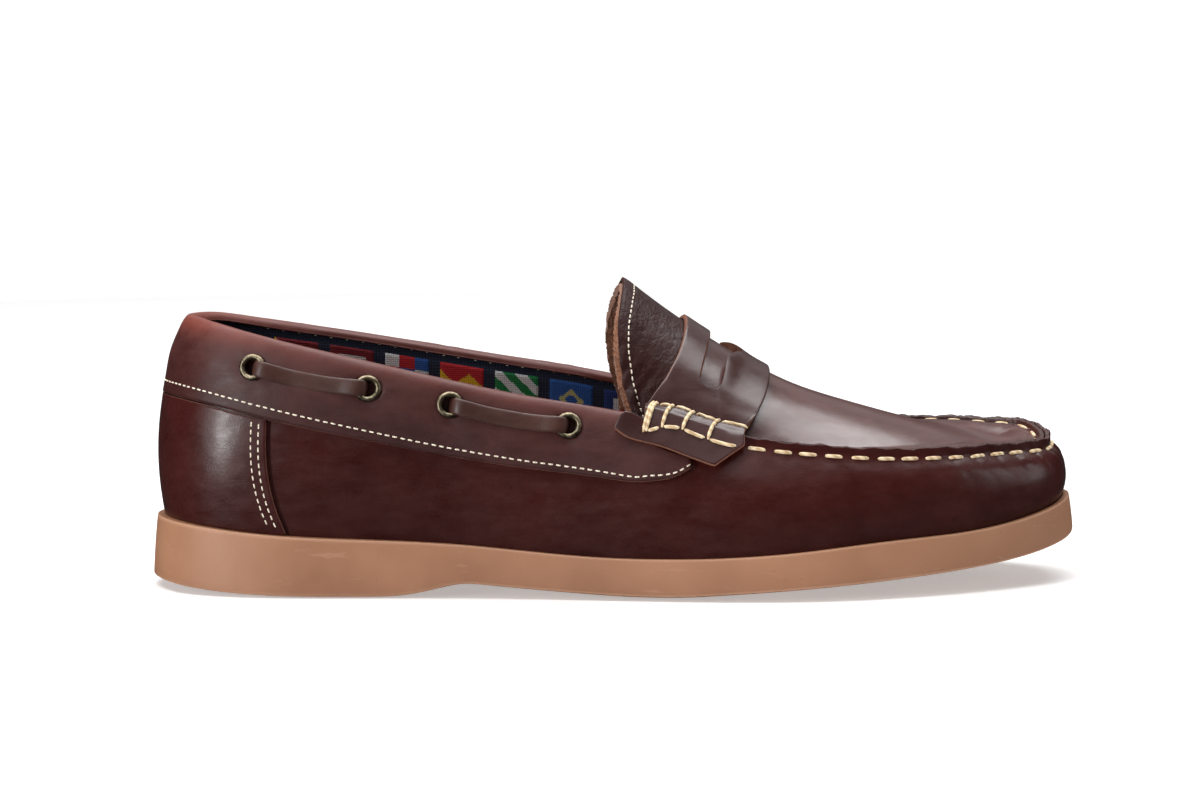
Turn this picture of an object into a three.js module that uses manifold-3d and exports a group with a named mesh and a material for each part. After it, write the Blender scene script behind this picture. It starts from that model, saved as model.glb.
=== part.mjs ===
// A right-foot boat shoe in the penny-loafer style: hand-sewn raised toe seam, saddle strap
// with rolled ends, a laced and padded collar, and a one-piece rubber sole.
// Millimetres. +X runs from heel to toe, +Y to the inner (medial) side, +Z up.

import * as THREE from "three";
import { mergeVertices } from "three/addons/utils/BufferGeometryUtils.js";
import Module from "manifold-3d";

// ---------------------------------------------------------------- driving dimensions

const LENGTH = 294; // the sole, heel to toe
const BALL_WIDTH = 100; // the sole across the ball of the foot
const HEEL_HEIGHT = 86; // from the floor to the top of the heel
const INSTEP_HEIGHT = 97; // from the floor to the top of the tongue

const GAP = 0.3; // between neighbouring pieces
const WALL = 2.0; // upper leather and its backing
const SEAM_LEATHER = 1.5; // each of the two leathers in the raised seam
const RIDGE = 3.0; // height of the raised seam
const STRAP_LEATHER = 1.6;
const TONGUE_THICKNESS = 3.0; // leather and a suede lining
const COLLAR_LEATHER = 1.6;
const COUNTER_LEATHER = 1.4;

// The rubber sole: a shallow cup that the upper stands in.
const SOLE_FLARE = 1.4; // its side leans out by this much towards the floor
const CUP_DEPTH = 3.0;
const HEEL_LIFT = 4.5; // height of the step at the heel's front
const HEEL_BREAST = { at: 81, run: 14.6 }; // where that step starts, and its length
const HEEL_ROCKER = { rise: 3, run: 52 }; // the worn-in curve at the back
const ARCH = { end: 150, power: 1.3 }; // where the sole meets the floor again
const TOE_SPRING = { from: 165, slope: 8.8, curl: 5.2, power: 10 };
// The rounded lower edge, at the heel and at the forefoot.
const EDGE = { heelRun: 2, heelRise: 0.7, run: 6, rise: 1.6 };
const INSOLE_THICKNESS = 3.0;

// The collar folds over the wall's edge, its outer leaf deeper than its inner one.
const COLLAR = { heelDepth: 22.5, depth: 19.3, inner: 1, end: 150 };
const COLLAR_TIP = { end: 168, top: 8.5, low: 11.5 }; // its outer leaf under the strap
const COLLAR_ROLL = WALL / 2 + GAP + COLLAR_LEATHER; // radius of the fold
const COUNTER_EDGE = { top: 38.5, sweep: 6 }; // the heel counter's front edge
const TAB = { rear: 4, front: 8.5, sweep: 9.5 }; // the strap's ends below the seam
const TONGUE = { inset: 5.4, tuck: 9 }; // its sides, inside the seam and down the wall

// Eyelets of one side. at: from the heel, percent of LENGTH. below: down the wall, mm.
const EYELETS = [
  { at: 11.5, below: 8 },
  { at: 23.2, below: 6.2 },
  { at: 31.9, below: 5.4 },
  { at: 44.4, below: 5.1 },
];
const EYELET = { hole: 2.8, flange: 4.1, wall: 0.45, rise: 0.9, sides: 12 };
const LACE = { width: 4.4, thickness: 1.7, sag: 1.4 };

// ---------------------------------------------------------------- tables of the last

// Cross-sections from heel to toe.
// at, topAt: percent of LENGTH from the heel, of the sole's edge and of the wall's top edge.
// lateral, medial: the sole's half widths, and topLateral, topMedial the top edge's.
// welt: the sole's rim outside the upper. These are percent of BALL_WIDTH.
// rim: the sole's top edge, and highLateral, highMedial the collar or, from the strap
// forward, the toe seam. These are percent of HEEL_HEIGHT.
// flare, tuck: degrees the wall leans out at the sole, and in at the top.
const SECTION_COLUMNS =
  "at lateral medial welt rim topAt topLateral topMedial highLateral highMedial flare tuck";
const SECTIONS = table(SECTION_COLUMNS, [
  [0, 0, 0, 3.8, 26.2, 4.0, 0, 0, 100, 100, 12, 22],
  [1.7, 17, 16.5, 3.8, 25.9, 5.3, 10.2, 9.8, 99.7, 99.9, 11, 20],
  [5.4, 27.4, 26.4, 3.7, 24.8, 8, 18.6, 18, 98, 98.7, 10, 18],
  [11.9, 33.8, 32.2, 3.4, 22.8, 13.1, 24.9, 24.2, 93.8, 95.3, 9, 16],
  [20.4, 36, 33.2, 2.8, 21.3, 20.4, 28.3, 27.2, 88.1, 91.3, 8, 14],
  [30.6, 37.3, 31.8, 2.3, 19.9, 30.6, 30.4, 28.6, 80.1, 85.4, 8, 13],
  [40.8, 41, 31, 1.9, 16.9, 40.8, 32.6, 29.8, 72.9, 79.5, 9, 15],
  [50.3, 46, 34, 1.9, 15, 50, 35, 32.2, 67.5, 73.2, 10, 20],
  [60.5, 50.4, 42, 1.9, 15.6, 59.9, 38.2, 36.4, 57, 61, 11, 34],
  [69.7, 51.2, 48.8, 1.9, 18, 68.7, 39.8, 39.9, 52.3, 54.8, 12, 45],
  [78.2, 46, 49, 1.9, 20.7, 77.2, 37.6, 40, 50, 52, 13, 50],
  [86.1, 37, 43, 1.9, 22, 84.9, 30.8, 35.4, 49.4, 52.3, 16, 57],
  [92.5, 26.6, 34.8, 1.9, 24.4, 91, 19.8, 27.2, 49.1, 52.8, 22, 64],
  [97.3, 16.4, 25, 1.9, 28.2, 95.2, 11.9, 20.1, 48.9, 52.8, 27, 70],
  [99.3, 7.2, 16, 1.9, 30.6, 96.9, 5, 13.2, 49.1, 51.6, 29, 74],
  [100, -4.4, 4.4, 1.9, 31.2, 97.4, -4.4, 4.4, 49.6, 49.6, 30, 75],
]);

// Lines over the instep, from the tongue's rear edge to the toe.
// crownAt, seamAt: where a line crosses the middle of the foot and meets the side seams,
// percent of LENGTH. crownHigh: percent of INSTEP_HEIGHT. full: 0.5 is a round arch and 1
// a flat bow. swing: how far the line swings forward in between, percent of LENGTH.
const INSTEP = table("crownAt crownHigh seamAt full swing", [
  [50.9, 100, 52, 0.55, -1.7],
  [57.3, 85.3, 52.4, 0.68, 0.4],
  [66.3, 68.5, 62.8, 0.8, 0.2],
  [73.1, 60.3, 70.4, 0.95, 0],
  [81.3, 53.6, 78.2, 1, 0],
  [87.8, 49.3, 84.5, 1, 0],
  [93, 46, 88.8, 1, 0],
  [97.4, 43.4, 92, 1, 0],
]);
const STRAP_LINES = { rear: 1, front: 2 }; // the strap's edges are these lines of INSTEP
const APRON_REAR = 1.14; // the apron starts just under the strap's rear edge
const TONGUE_FRONT = 1.1;

function table(columns, rows) {
  const names = columns.split(" ");
  return rows.map((row) => Object.fromEntries(names.map((name, i) => [name, row[i]])));
}

// ---------------------------------------------------------------- splines

const { lerp, smoothstep, clamp, degToRad } = THREE.MathUtils;
const percentOf = (whole) => (share) => (share * whole) / 100;
const alongFoot = percentOf(LENGTH);
const acrossFoot = percentOf(BALL_WIDTH);
const upHeel = percentOf(HEEL_HEIGHT);
const upInstep = percentOf(INSTEP_HEIGHT);
const steps = (count, from = 0, to = 1) =>
  Array.from({ length: count + 1 }, (_, i) => lerp(from, to, i / count));

// The smooth curve through values at whole-number positions.
function spline(values, closed = false) {
  const n = values.length;
  const bends = new Array(n).fill(0);
  const first = closed ? 0 : 1;
  for (let sweep = 0; sweep < 60; sweep++)
    for (let i = first; i < n - first; i++) {
      const [before, after] = [(i + n - 1) % n, (i + 1) % n];
      const pull = 6 * (values[after] - 2 * values[i] + values[before]);
      bends[i] = (pull - bends[before] - bends[after]) / 4;
    }
  return (position) => {
    const x = closed ? ((position % n) + n) % n : clamp(position, 0, n - 1);
    const i = Math.min(Math.floor(x), closed ? n - 1 : n - 2);
    const j = (i + 1) % n;
    const b = x - i;
    const a = 1 - b;
    const curve = (a ** 3 - a) * bends[i] + (b ** 3 - b) * bends[j];
    return a * values[i] + b * values[j] + curve / 6;
  };
}

// A position on the loop counts sections: from the heel's back (0) down the lateral side to
// the toe tip (TOE), and on along the medial side.
const TOE = SECTIONS.length - 1;
const LOOP = 2 * TOE;
function around(lateral, medial = lateral) {
  const forward = SECTIONS.map(lateral);
  const back = SECTIONS.slice(1, TOE).map(medial).reverse();
  return spline([...forward, ...back], true);
}
const soleX = around((s) => alongFoot(s.at));
const soleY = around((s) => -acrossFoot(s.lateral), (s) => acrossFoot(s.medial));
const weltWidth = around((s) => acrossFoot(s.welt));
const rimZ = around((s) => upHeel(s.rim));
const topX = around((s) => alongFoot(s.topAt));
const topY = around((s) => -acrossFoot(s.topLateral), (s) => acrossFoot(s.topMedial));
const highZ = around((s) => upHeel(s.highLateral), (s) => upHeel(s.highMedial));
const flare = around((s) => degToRad(s.flare));
const tuck = around((s) => degToRad(s.tuck));

// Position on the lateral half where x(position) reaches a distance from the heel.
function positionAt(x, distance) {
  let low = 0;
  let high = TOE;
  while (high - low > 1e-5) {
    const middle = (low + high) / 2;
    if (x(middle) < distance) low = middle;
    else high = middle;
  }
  return low;
}

const STEP = 0.01; // for slopes taken from small differences
const level = (x, y) => (p) => {
  const dx = x(p + STEP) - x(p - STEP);
  const dy = y(p + STEP) - y(p - STEP);
  return new THREE.Vector3(dy, -dx, 0).normalize();
};
const soleOut = level(soleX, soleY); // level and outward, square to the sole's edge
const topOut = level(topX, topY); // the same for the top edge

// ---------------------------------------------------------------- the wall of the upper

const cupInset = (p) => SOLE_FLARE + weltWidth(p);
const wallInset = (p) => cupInset(p) + GAP;
const outline = (p, inset, z) =>
  new THREE.Vector3(soleX(p), soleY(p), z).addScaledVector(soleOut(p), -inset);

function topEdge(p) {
  const foldAbove = COLLAR_ROLL * (1 - smoothstep(topX(p), COLLAR.end - 4, COLLAR.end + 8));
  return new THREE.Vector3(topX(p), topY(p), highZ(p) - foldAbove);
}

// The wall's outer face: t is 0 at the sole's rim and 1 at the top edge.
function wallCurve(p, t) {
  const foot = outline(p, wallInset(p), rimZ(p));
  const brow = topEdge(p);
  const reach = foot.distanceTo(brow) / 2.9;
  const lean = (from, angle, up) =>
    new THREE.Vector3(0, 0, Math.cos(angle) * up)
      .addScaledVector(soleOut(p), Math.sin(angle) * reach)
      .add(from);
  const lower = lean(foot, flare(p), reach);
  const upper = lean(brow, tuck(p), -reach);
  return new THREE.CubicBezierCurve3(foot, lower, upper, brow).getPoint(t);
}

function wallUp(p, t) {
  const above = wallCurve(p, Math.min(t + STEP, 1));
  return above.sub(wallCurve(p, Math.max(t - STEP, 0))).normalize();
}

function wallNormal(p, t) {
  const along = wallCurve(p + STEP, t).sub(wallCurve(p - STEP, t));
  return along.cross(wallUp(p, t)).normalize();
}

const onWall = (p, t, offset = 0) =>
  wallCurve(p, t).addScaledVector(wallNormal(p, t), offset);

// t at a distance down the wall from its top edge.
const down = (p, distance) => 1 - distance / wallCurve(p, 0).distanceTo(topEdge(p));
const collarDepth = (p) => lerp(COLLAR.heelDepth, COLLAR.depth, smoothstep(topX(p), 50, 145));

// The raised seam runs from the strap around the toe.
const ridge = (p) => 0.2 + (RIDGE - 0.2) * smoothstep(topX(p), COLLAR.end, COLLAR.end + 11);
const ridgeTop = (p, inset) =>
  topEdge(p).addScaledVector(topOut(p), -inset).add(new THREE.Vector3(0, 0, ridge(p)));

// ---------------------------------------------------------------- skins

// Collects four-sided patches into one closed skin.
class Skin {
  corners = [];

  // Rows of points. The face looks along (next in row) x (next row).
  patch(rows, flipped = false) {
    for (let i = 0; i + 1 < rows.length; i++)
      for (let j = 0; j + 1 < rows[i].length; j++) {
        const quad = [rows[i][j], rows[i][j + 1], rows[i + 1][j + 1], rows[i + 1][j]];
        if (flipped) quad.reverse();
        this.corners.push(quad[0], quad[1], quad[2], quad[0], quad[2], quad[3]);
      }
    return this;
  }

  geometry() {
    const loose = new THREE.BufferGeometry().setFromPoints(this.corners);
    const merged = mergeVertices(loose, 1e-3);
    const index = merged.index.array;
    const kept = [];
    for (let i = 0; i < index.length; i += 3) {
      const [a, b, c] = index.subarray(i, i + 3);
      if (a !== b && b !== c && c !== a) kept.push(a, b, c);
    }
    return merged.setIndex(kept);
  }
}

const column = (grid, j) => grid.map((row) => row.at(j));

// Two facing grids of points, closed along their four edges.
function sheet(inner, outer) {
  return new Skin()
    .patch(inner)
    .patch(outer, true)
    .patch([outer[0], inner[0]])
    .patch([inner.at(-1), outer.at(-1)])
    .patch([column(inner, 0), column(outer, 0)])
    .patch([column(outer, -1), column(inner, -1)])
    .geometry();
}

// The same for grids whose rows go all the way round.
function hoop(inner, outer) {
  const [inside, outside] = [inner, outer].map((grid) => [...grid, grid[0]]);
  return new Skin()
    .patch(inside)
    .patch(outside, true)
    .patch([column(inside, 0), column(outside, 0)])
    .patch([column(outside, -1), column(inside, -1)])
    .geometry();
}

// A grid moved along its own normals, which look up and outwards.
function thicken(grid, thickness) {
  const pick = (i, j) => grid[clamp(i, 0, grid.length - 1)][clamp(j, 0, grid[0].length - 1)];
  return grid.map((row, i) =>
    row.map((point, j) => {
      const rowWay = pick(i, j + 1).clone().sub(pick(i, j - 1));
      const gridWay = pick(i + 1, j).clone().sub(pick(i - 1, j));
      return point.clone().addScaledVector(gridWay.cross(rowWay).normalize(), thickness);
    }),
  );
}

const wasm = await Module();
wasm.setup();

function toSolid(geometry) {
  const bare = geometry.clone();
  bare.deleteAttribute("normal");
  bare.deleteAttribute("uv");
  const merged = mergeVertices(bare, 1e-3);
  const vertProperties = merged.attributes.position.array;
  const triVerts = new Uint32Array(merged.index.array);
  return new wasm.Manifold(new wasm.Mesh({ numProp: 3, vertProperties, triVerts }));
}

function cut(geometry, tools) {
  const left = tools.reduce((solid, tool) => solid.subtract(toSolid(tool)), toSolid(geometry));
  const { vertProperties, triVerts } = left.getMesh();
  return new THREE.BufferGeometry()
    .setAttribute("position", new THREE.BufferAttribute(vertProperties, 3))
    .setIndex(new THREE.BufferAttribute(triVerts, 1));
}

// ---------------------------------------------------------------- outsole and insole

const AROUND = 72; // columns around the loop
const HALF = AROUND / 2;

// Height of the tread above the floor, at a distance from the heel.
function treadHeight(x) {
  const breastEnd = HEEL_BREAST.at + HEEL_BREAST.run;
  if (x < HEEL_ROCKER.run) return HEEL_ROCKER.rise * (1 - x / HEEL_ROCKER.run) ** 2;
  if (x <= HEEL_BREAST.at) return 0;
  if (x < breastEnd) return (HEEL_LIFT * (x - HEEL_BREAST.at)) / HEEL_BREAST.run;
  if (x < ARCH.end) return HEEL_LIFT * ((ARCH.end - x) / (ARCH.end - breastEnd)) ** ARCH.power;
  const share = Math.max(x - TOE_SPRING.from, 0) / (LENGTH - TOE_SPRING.from);
  return TOE_SPRING.slope * share + TOE_SPRING.curl * share ** TOE_SPRING.power;
}

// Positions on the lateral half, with the tread's own corners among them.
function soleColumns() {
  const even = steps(HALF, 0, TOE);
  const corners = [HEEL_ROCKER.run, HEEL_BREAST.at, HEEL_BREAST.at + HEEL_BREAST.run];
  for (const corner of [...corners, ARCH.end, TOE_SPRING.from]) {
    const exact = positionAt(soleX, corner);
    const errors = even.map((p) => Math.abs(p - exact));
    even[errors.indexOf(Math.min(...errors))] = exact;
  }
  return even;
}

// Points all round the outline, and rows of points across it.
function ring(columns, inset, height) {
  const half = columns.map((p) => outline(p, inset(p), height(p)));
  const otherHalf = columns.slice(0, -1).map((p) => outline(LOOP - p, inset(p), height(p)));
  return [...half, ...otherHalf.reverse()];
}

function acrossRows(columns, inset, height, count) {
  return columns.map((p) => {
    const lateral = outline(p, inset(p), height(p));
    const medial = outline(LOOP - p, inset(p), height(p));
    return steps(count).map((share) => lateral.clone().lerp(medial, share));
  });
}

function makeOutsole() {
  const columns = soleColumns();
  const none = () => 0;
  const forefoot = (p) => smoothstep(soleX(p), HEEL_BREAST.at, ARCH.end);
  const bevel = (p) => lerp(EDGE.heelRun, EDGE.run, forefoot(p));
  const tread = (p) => treadHeight(soleX(p));
  const edge = (p) => tread(p) + lerp(EDGE.heelRise, EDGE.rise, forefoot(p));
  const cupFloor = (p) => rimZ(p) - CUP_DEPTH;
  return new Skin()
    .patch([
      ring(columns, bevel, tread),
      ring(columns, none, edge),
      ring(columns, () => SOLE_FLARE * 0.35, (p) => lerp(edge(p), rimZ(p), 0.5)),
      ring(columns, () => SOLE_FLARE, rimZ),
      ring(columns, cupInset, rimZ),
      ring(columns, cupInset, cupFloor),
    ])
    .patch(acrossRows(columns, bevel, tread, 4))
    .patch(acrossRows(columns, cupInset, cupFloor, 4), true)
    .geometry();
}

function makeInsole() {
  const columns = steps(HALF, 0, TOE);
  const inset = (p) => wallInset(p) + WALL + GAP;
  const bottom = (p) => rimZ(p) - CUP_DEPTH + GAP;
  const top = (p) => bottom(p) + INSOLE_THICKNESS;
  return new Skin()
    .patch([ring(columns, inset, bottom), ring(columns, inset, top)])
    .patch(acrossRows(columns, inset, bottom, 2))
    .patch(acrossRows(columns, inset, top, 2), true)
    .geometry();
}

// ---------------------------------------------------------------- upper, counter, collar

function makeUpper() {
  const inner = [];
  const outer = [];
  for (const p of steps(AROUND, 0, LOOP).slice(0, -1)) {
    const cupFloor = rimZ(p) - CUP_DEPTH + GAP;
    const thin = lerp(WALL, SEAM_LEATHER, ridge(p) / RIDGE);
    const foot = [outline(p, wallInset(p) + WALL, cupFloor), outline(p, wallInset(p), cupFloor)];
    const rows = steps(6);
    const brow = topEdge(p)
      .addScaledVector(wallNormal(p, 1), -WALL / 2)
      .addScaledVector(topOut(p), -thin / 2);
    inner.push([
      foot[0],
      ...rows.slice(0, -1).map((t) => onWall(p, t, -WALL)),
      brow,
      ridgeTop(p, thin),
    ]);
    outer.push([foot[1], ...rows.map((t) => onWall(p, t)), ridgeTop(p, 0)]);
  }
  return hoop(inner, outer);
}

function makeHeelCounter() {
  const end = (share) => positionAt(topX, COUNTER_EDGE.top + COUNTER_EDGE.sweep * share ** 2.5);
  const grid = (offset) =>
    steps(20, -1, 1).map((around) =>
      steps(5).map((share) => {
        const p = around * end(1 - share);
        const margin = (1.2 * GAP) / wallCurve(p, 0).distanceTo(topEdge(p));
        return onWall(p, lerp(margin, down(p, collarDepth(p)) - margin, share), offset);
      }),
    );
  return sheet(grid(GAP), grid(GAP + COUNTER_LEATHER));
}

// The collar's fold over the wall, as points from the outer leaf's hem to the inner one's.
const LEAF_ROWS = 5;
function collarFold(p, offset) {
  const outer = steps(LEAF_ROWS, down(p, collarDepth(p)), 1).map((t) => onWall(p, t, offset));
  const centre = onWall(p, 1, -WALL / 2);
  const radius = WALL / 2 + offset;
  const fold = steps(4, 0, Math.PI).slice(1, -1).map((angle) =>
    centre
      .clone()
      .addScaledVector(wallNormal(p, 1), radius * Math.cos(angle))
      .addScaledVector(wallUp(p, 1), radius * Math.sin(angle)),
  );
  const inner = steps(2, 1, down(p, COLLAR.inner)).map((t) => onWall(p, t, -WALL - offset));
  return [...outer, ...fold, ...inner];
}

// Ahead of the fold, the outer leaf alone runs on under the strap's tab.
function collarTip(side, offset) {
  const start = positionAt(topX, COLLAR.end);
  const end = positionAt(topX, COLLAR_TIP.end);
  return steps(4).map((share) => {
    const p = lerp(start, end, share);
    const low = lerp(COLLAR.depth, COLLAR_TIP.low, share ** 2.5);
    const high = lerp(0, COLLAR_TIP.top, Math.min(share * 2.5, 1) ** 0.7);
    const position = side < 0 ? p : LOOP - p;
    return steps(LEAF_ROWS, down(position, low), down(position, high)).map((t) =>
      onWall(position, t, offset),
    );
  });
}

function makeCollar() {
  const end = positionAt(topX, COLLAR.end);
  const columns = steps(36, -end, end);
  const [inner, outer] = [GAP, GAP + COLLAR_LEATHER].map((offset) =>
    columns.map((p) => collarFold(p < 0 ? p + LOOP : p, offset)),
  );
  const skin = new Skin()
    .patch(inner)
    .patch(outer, true)
    .patch([column(inner, 0), column(outer, 0)])
    .patch([column(outer, -1), column(inner, -1)]);
  for (const [row, side] of [[0, 1], [-1, -1]]) {
    const [innerTip, outerTip] = [GAP, GAP + COLLAR_LEATHER].map((o) => collarTip(side, o));
    const ends = [outer.at(row).slice(LEAF_ROWS), inner.at(row).slice(LEAF_ROWS)];
    const back = side > 0;
    skin
      .patch(ends, !back)
      .patch(innerTip, back)
      .patch(outerTip, !back)
      .patch([outerTip.at(-1), innerTip.at(-1)], !back)
      .patch([column(innerTip, 0), column(outerTip, 0)], back)
      .patch([column(outerTip, -1), column(innerTip, -1)], back);
  }
  return cut(skin.geometry(), eyeletPlaces().map(holeCutter));
}

// ---------------------------------------------------------------- eyelets and lace

function eyeletPlaces() {
  return [-1, 1].flatMap((side) =>
    EYELETS.map(({ at, below }, i) => {
      const half = positionAt(topX, alongFoot(at));
      const p = side < 0 ? half : LOOP - half;
      return { side, p, t: down(p, below), number: i + 1 };
    }),
  );
}

// Stands a shape made along +Y square on the wall.
function standOnWall(geometry, { p, t }) {
  const turn = new THREE.Quaternion().setFromUnitVectors(
    new THREE.Vector3(0, 1, 0),
    wallNormal(p, t),
  );
  const place = new THREE.Matrix4().compose(wallCurve(p, t), turn, new THREE.Vector3(1, 1, 1));
  return geometry.applyMatrix4(place);
}

function holeCutter(place) {
  const radius = EYELET.hole + EYELET.wall + GAP;
  const height = 2 * (GAP + COLLAR_LEATHER);
  const cutter = new THREE.CylinderGeometry(radius, radius, height, EYELET.sides);
  return standOnWall(cutter.translate(0, height / 2 - WALL / 2, 0), place);
}

// Turned ring: a barrel through the collar and a domed flange outside it.
function makeEyelet(place) {
  const barrel = EYELET.hole + EYELET.wall;
  const seat = 2 * GAP + COLLAR_LEATHER;
  const top = seat + EYELET.rise;
  const profile = [
    [EYELET.hole, GAP],
    [barrel, GAP],
    [barrel, seat],
    [EYELET.flange, seat],
    [EYELET.flange - 0.2, seat + 0.6 * EYELET.rise],
    [barrel, top],
    [EYELET.hole, top - 0.4],
    [EYELET.hole, GAP],
  ].map(([x, y]) => new THREE.Vector2(x, y));
  const turned = new THREE.LatheGeometry(profile, EYELET.sides);
  turned.deleteAttribute("normal");
  turned.deleteAttribute("uv");
  return standOnWall(mergeVertices(turned, 1e-3), place);
}

// A flat thong that comes out of one eyelet, runs along the collar and goes into the next.
function makeLaceBar(from, to) {
  const lift = 2 * GAP + COLLAR_LEATHER + EYELET.rise + GAP + LACE.thickness / 2;
  const length = wallCurve(from.p, from.t).distanceTo(wallCurve(to.p, to.t));
  // along: mm from the eyelet's centre. up: mm from the wall.
  const entry = [[0, GAP + 0.5], [0, 2.1], [0.5, 3.2], [1.6, lift - 0.1], [3.4, lift]];
  const path = [
    ...entry.map(([along, up]) => [along / length, up]),
    ...[0.25, 0.375, 0.5, 0.625, 0.75].map((share) => [
      share,
      lift - LACE.sag * Math.sin(Math.PI * smoothstep(share, 0.1, 0.9)) ** 0.6,
    ]),
    ...entry.map(([along, up]) => [1 - along / length, up]).reverse(),
  ];
  const centres = path.map(([share, up]) => {
    const [p, t] = [lerp(from.p, to.p, share), lerp(from.t, to.t, share)];
    return { centre: onWall(p, t, up), normal: wallNormal(p, t) };
  });
  const chord = wallCurve(to.p, to.t).sub(wallCurve(from.p, from.t)).normalize();
  const rows = centres.map(({ centre, normal }, i) => {
    const before = centres[Math.max(i - 1, 0)].centre;
    const after = centres[Math.min(i + 1, centres.length - 1)].centre;
    const side = chord.clone().cross(normal).normalize();
    const out = after.clone().sub(before).cross(side).normalize().multiplyScalar(-0.5);
    return [-1, 1].map((across) =>
      [-1, 1].map((face) =>
        centre
          .clone()
          .addScaledVector(side, (across * LACE.width) / 2)
          .addScaledVector(out, face * LACE.thickness),
      ),
    );
  });
  const face = (k) => rows.map((corners) => corners.map((pair) => pair[k]));
  return sheet(face(1), face(0));
}

// ---------------------------------------------------------------- instep surface

const TOE_LINE = INSTEP.length - 1;
const crownX = spline(INSTEP.map((line) => alongFoot(line.crownAt)));
const crownZ = spline(INSTEP.map((line) => upInstep(line.crownHigh)));
const seamX = spline(INSTEP.map((line) => alongFoot(line.seamAt)));
const fullness = spline(INSTEP.map((line) => line.full));
const swing = spline(INSTEP.map((line) => alongFoot(line.swing)));
const toeCorner = positionAt(topX, seamX(TOE_LINE));

const seamPoint = (p, inset) => topEdge(p).addScaledVector(topOut(p), -inset);

// A point over the instep: line counts INSTEP's rows, share runs from the lateral seam (0)
// to the medial (1), and inset is the distance kept inside the seam's outer face.
function instep(line, share, inset) {
  const seam = positionAt(topX, seamX(line));
  const [start, end] = [seam, LOOP - seam].map((p) => seamPoint(p, inset));
  const [toeStart, toeHere, toeEnd] = [0, share, 1].map((s) =>
    seamPoint(lerp(toeCorner, LOOP - toeCorner, s), inset),
  );
  const tip = seamPoint(TOE, inset);
  const across = (toeHere.y - toeStart.y) / (toeEnd.y - toeStart.y);
  const base = start.clone().lerp(end, across);
  const side = 2 * across - 1;
  const arch = Math.max(1 - Math.abs(side) ** 2.2, 0) ** fullness(line);
  const toeBase = lerp(toeStart.x, toeEnd.x, across);
  const toeArch = (toeHere.x - toeBase) / (tip.x - toeBase);
  const nearToe = smoothstep(line, 2, TOE_LINE);
  const forward = lerp(arch, toeArch, nearToe);
  const reach = crownX(line) - inset * nearToe;
  const height = base.z + (crownZ(line) - (start.z + end.z) / 2) * arch;
  const swung = 4 * swing(line) * arch * (1 - arch);
  return new THREE.Vector3(
    lerp(base.x, reach, forward) + swung,
    base.y,
    lerp(height, toeHere.z, nearToe ** 3),
  );
}

const INSTEP_SHARES = [0, 0.03, 0.08, 0.15, 0.24, 0.33, 0.42, 0.5, 0.58, 0.67, 0.76, 0.85];
INSTEP_SHARES.push(0.92, 0.97, 1);

function makeApron() {
  const inset = SEAM_LEATHER + GAP + SEAM_LEATHER;
  const lines = [APRON_REAR, 1.4, 1.7, 2, ...steps(12, 2.4, TOE_LINE)];
  const positionOf = (line, share) => {
    const seam = positionAt(topX, seamX(line));
    return lerp(seam, LOOP - seam, share);
  };
  const top = lines.map((line) => INSTEP_SHARES.map((share) => instep(line, share, inset)));
  const low = thicken(top, -SEAM_LEATHER);
  const flanged = (grid, flangeInset) => {
    const rows = grid.map((row, i) => {
      const ends = [0, 1].map((share) => ridgeTop(positionOf(lines[i], share), flangeInset));
      return [ends[0], ...row, ends[1]];
    });
    const toeRow = INSTEP_SHARES.map((share) =>
      ridgeTop(positionOf(TOE_LINE, share), flangeInset),
    );
    return [...rows, [toeRow[0], ...toeRow, toeRow.at(-1)]];
  };
  const corner = (p) => seamPoint(p, inset - SEAM_LEATHER).add(new THREE.Vector3(0, 0, -1.1));
  low.forEach((row, i) => {
    row[0] = corner(positionOf(lines[i], 0));
    row[row.length - 1] = corner(positionOf(lines[i], 1));
  });
  low[low.length - 1] = INSTEP_SHARES.map((share) => corner(positionOf(TOE_LINE, share)));
  return sheet(flanged(low, inset - SEAM_LEATHER), flanged(top, inset));
}

function makeTongue() {
  const lines = steps(8, 0, TONGUE_FRONT);
  const outer = lines.map((line) => {
    const row = steps(16).map((share) => instep(line, share, TONGUE.inset));
    const tucked = (end, next) => {
      const inward = next.clone().sub(end).setZ(0).normalize();
      return end.clone().addScaledVector(inward, 0.6).add(new THREE.Vector3(0, 0, -TONGUE.tuck));
    };
    return [tucked(row[0], row[1]), ...row, tucked(row.at(-1), row.at(-2))];
  });
  return sheet(thicken(outer, -TONGUE_THICKNESS), outer);
}

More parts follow.
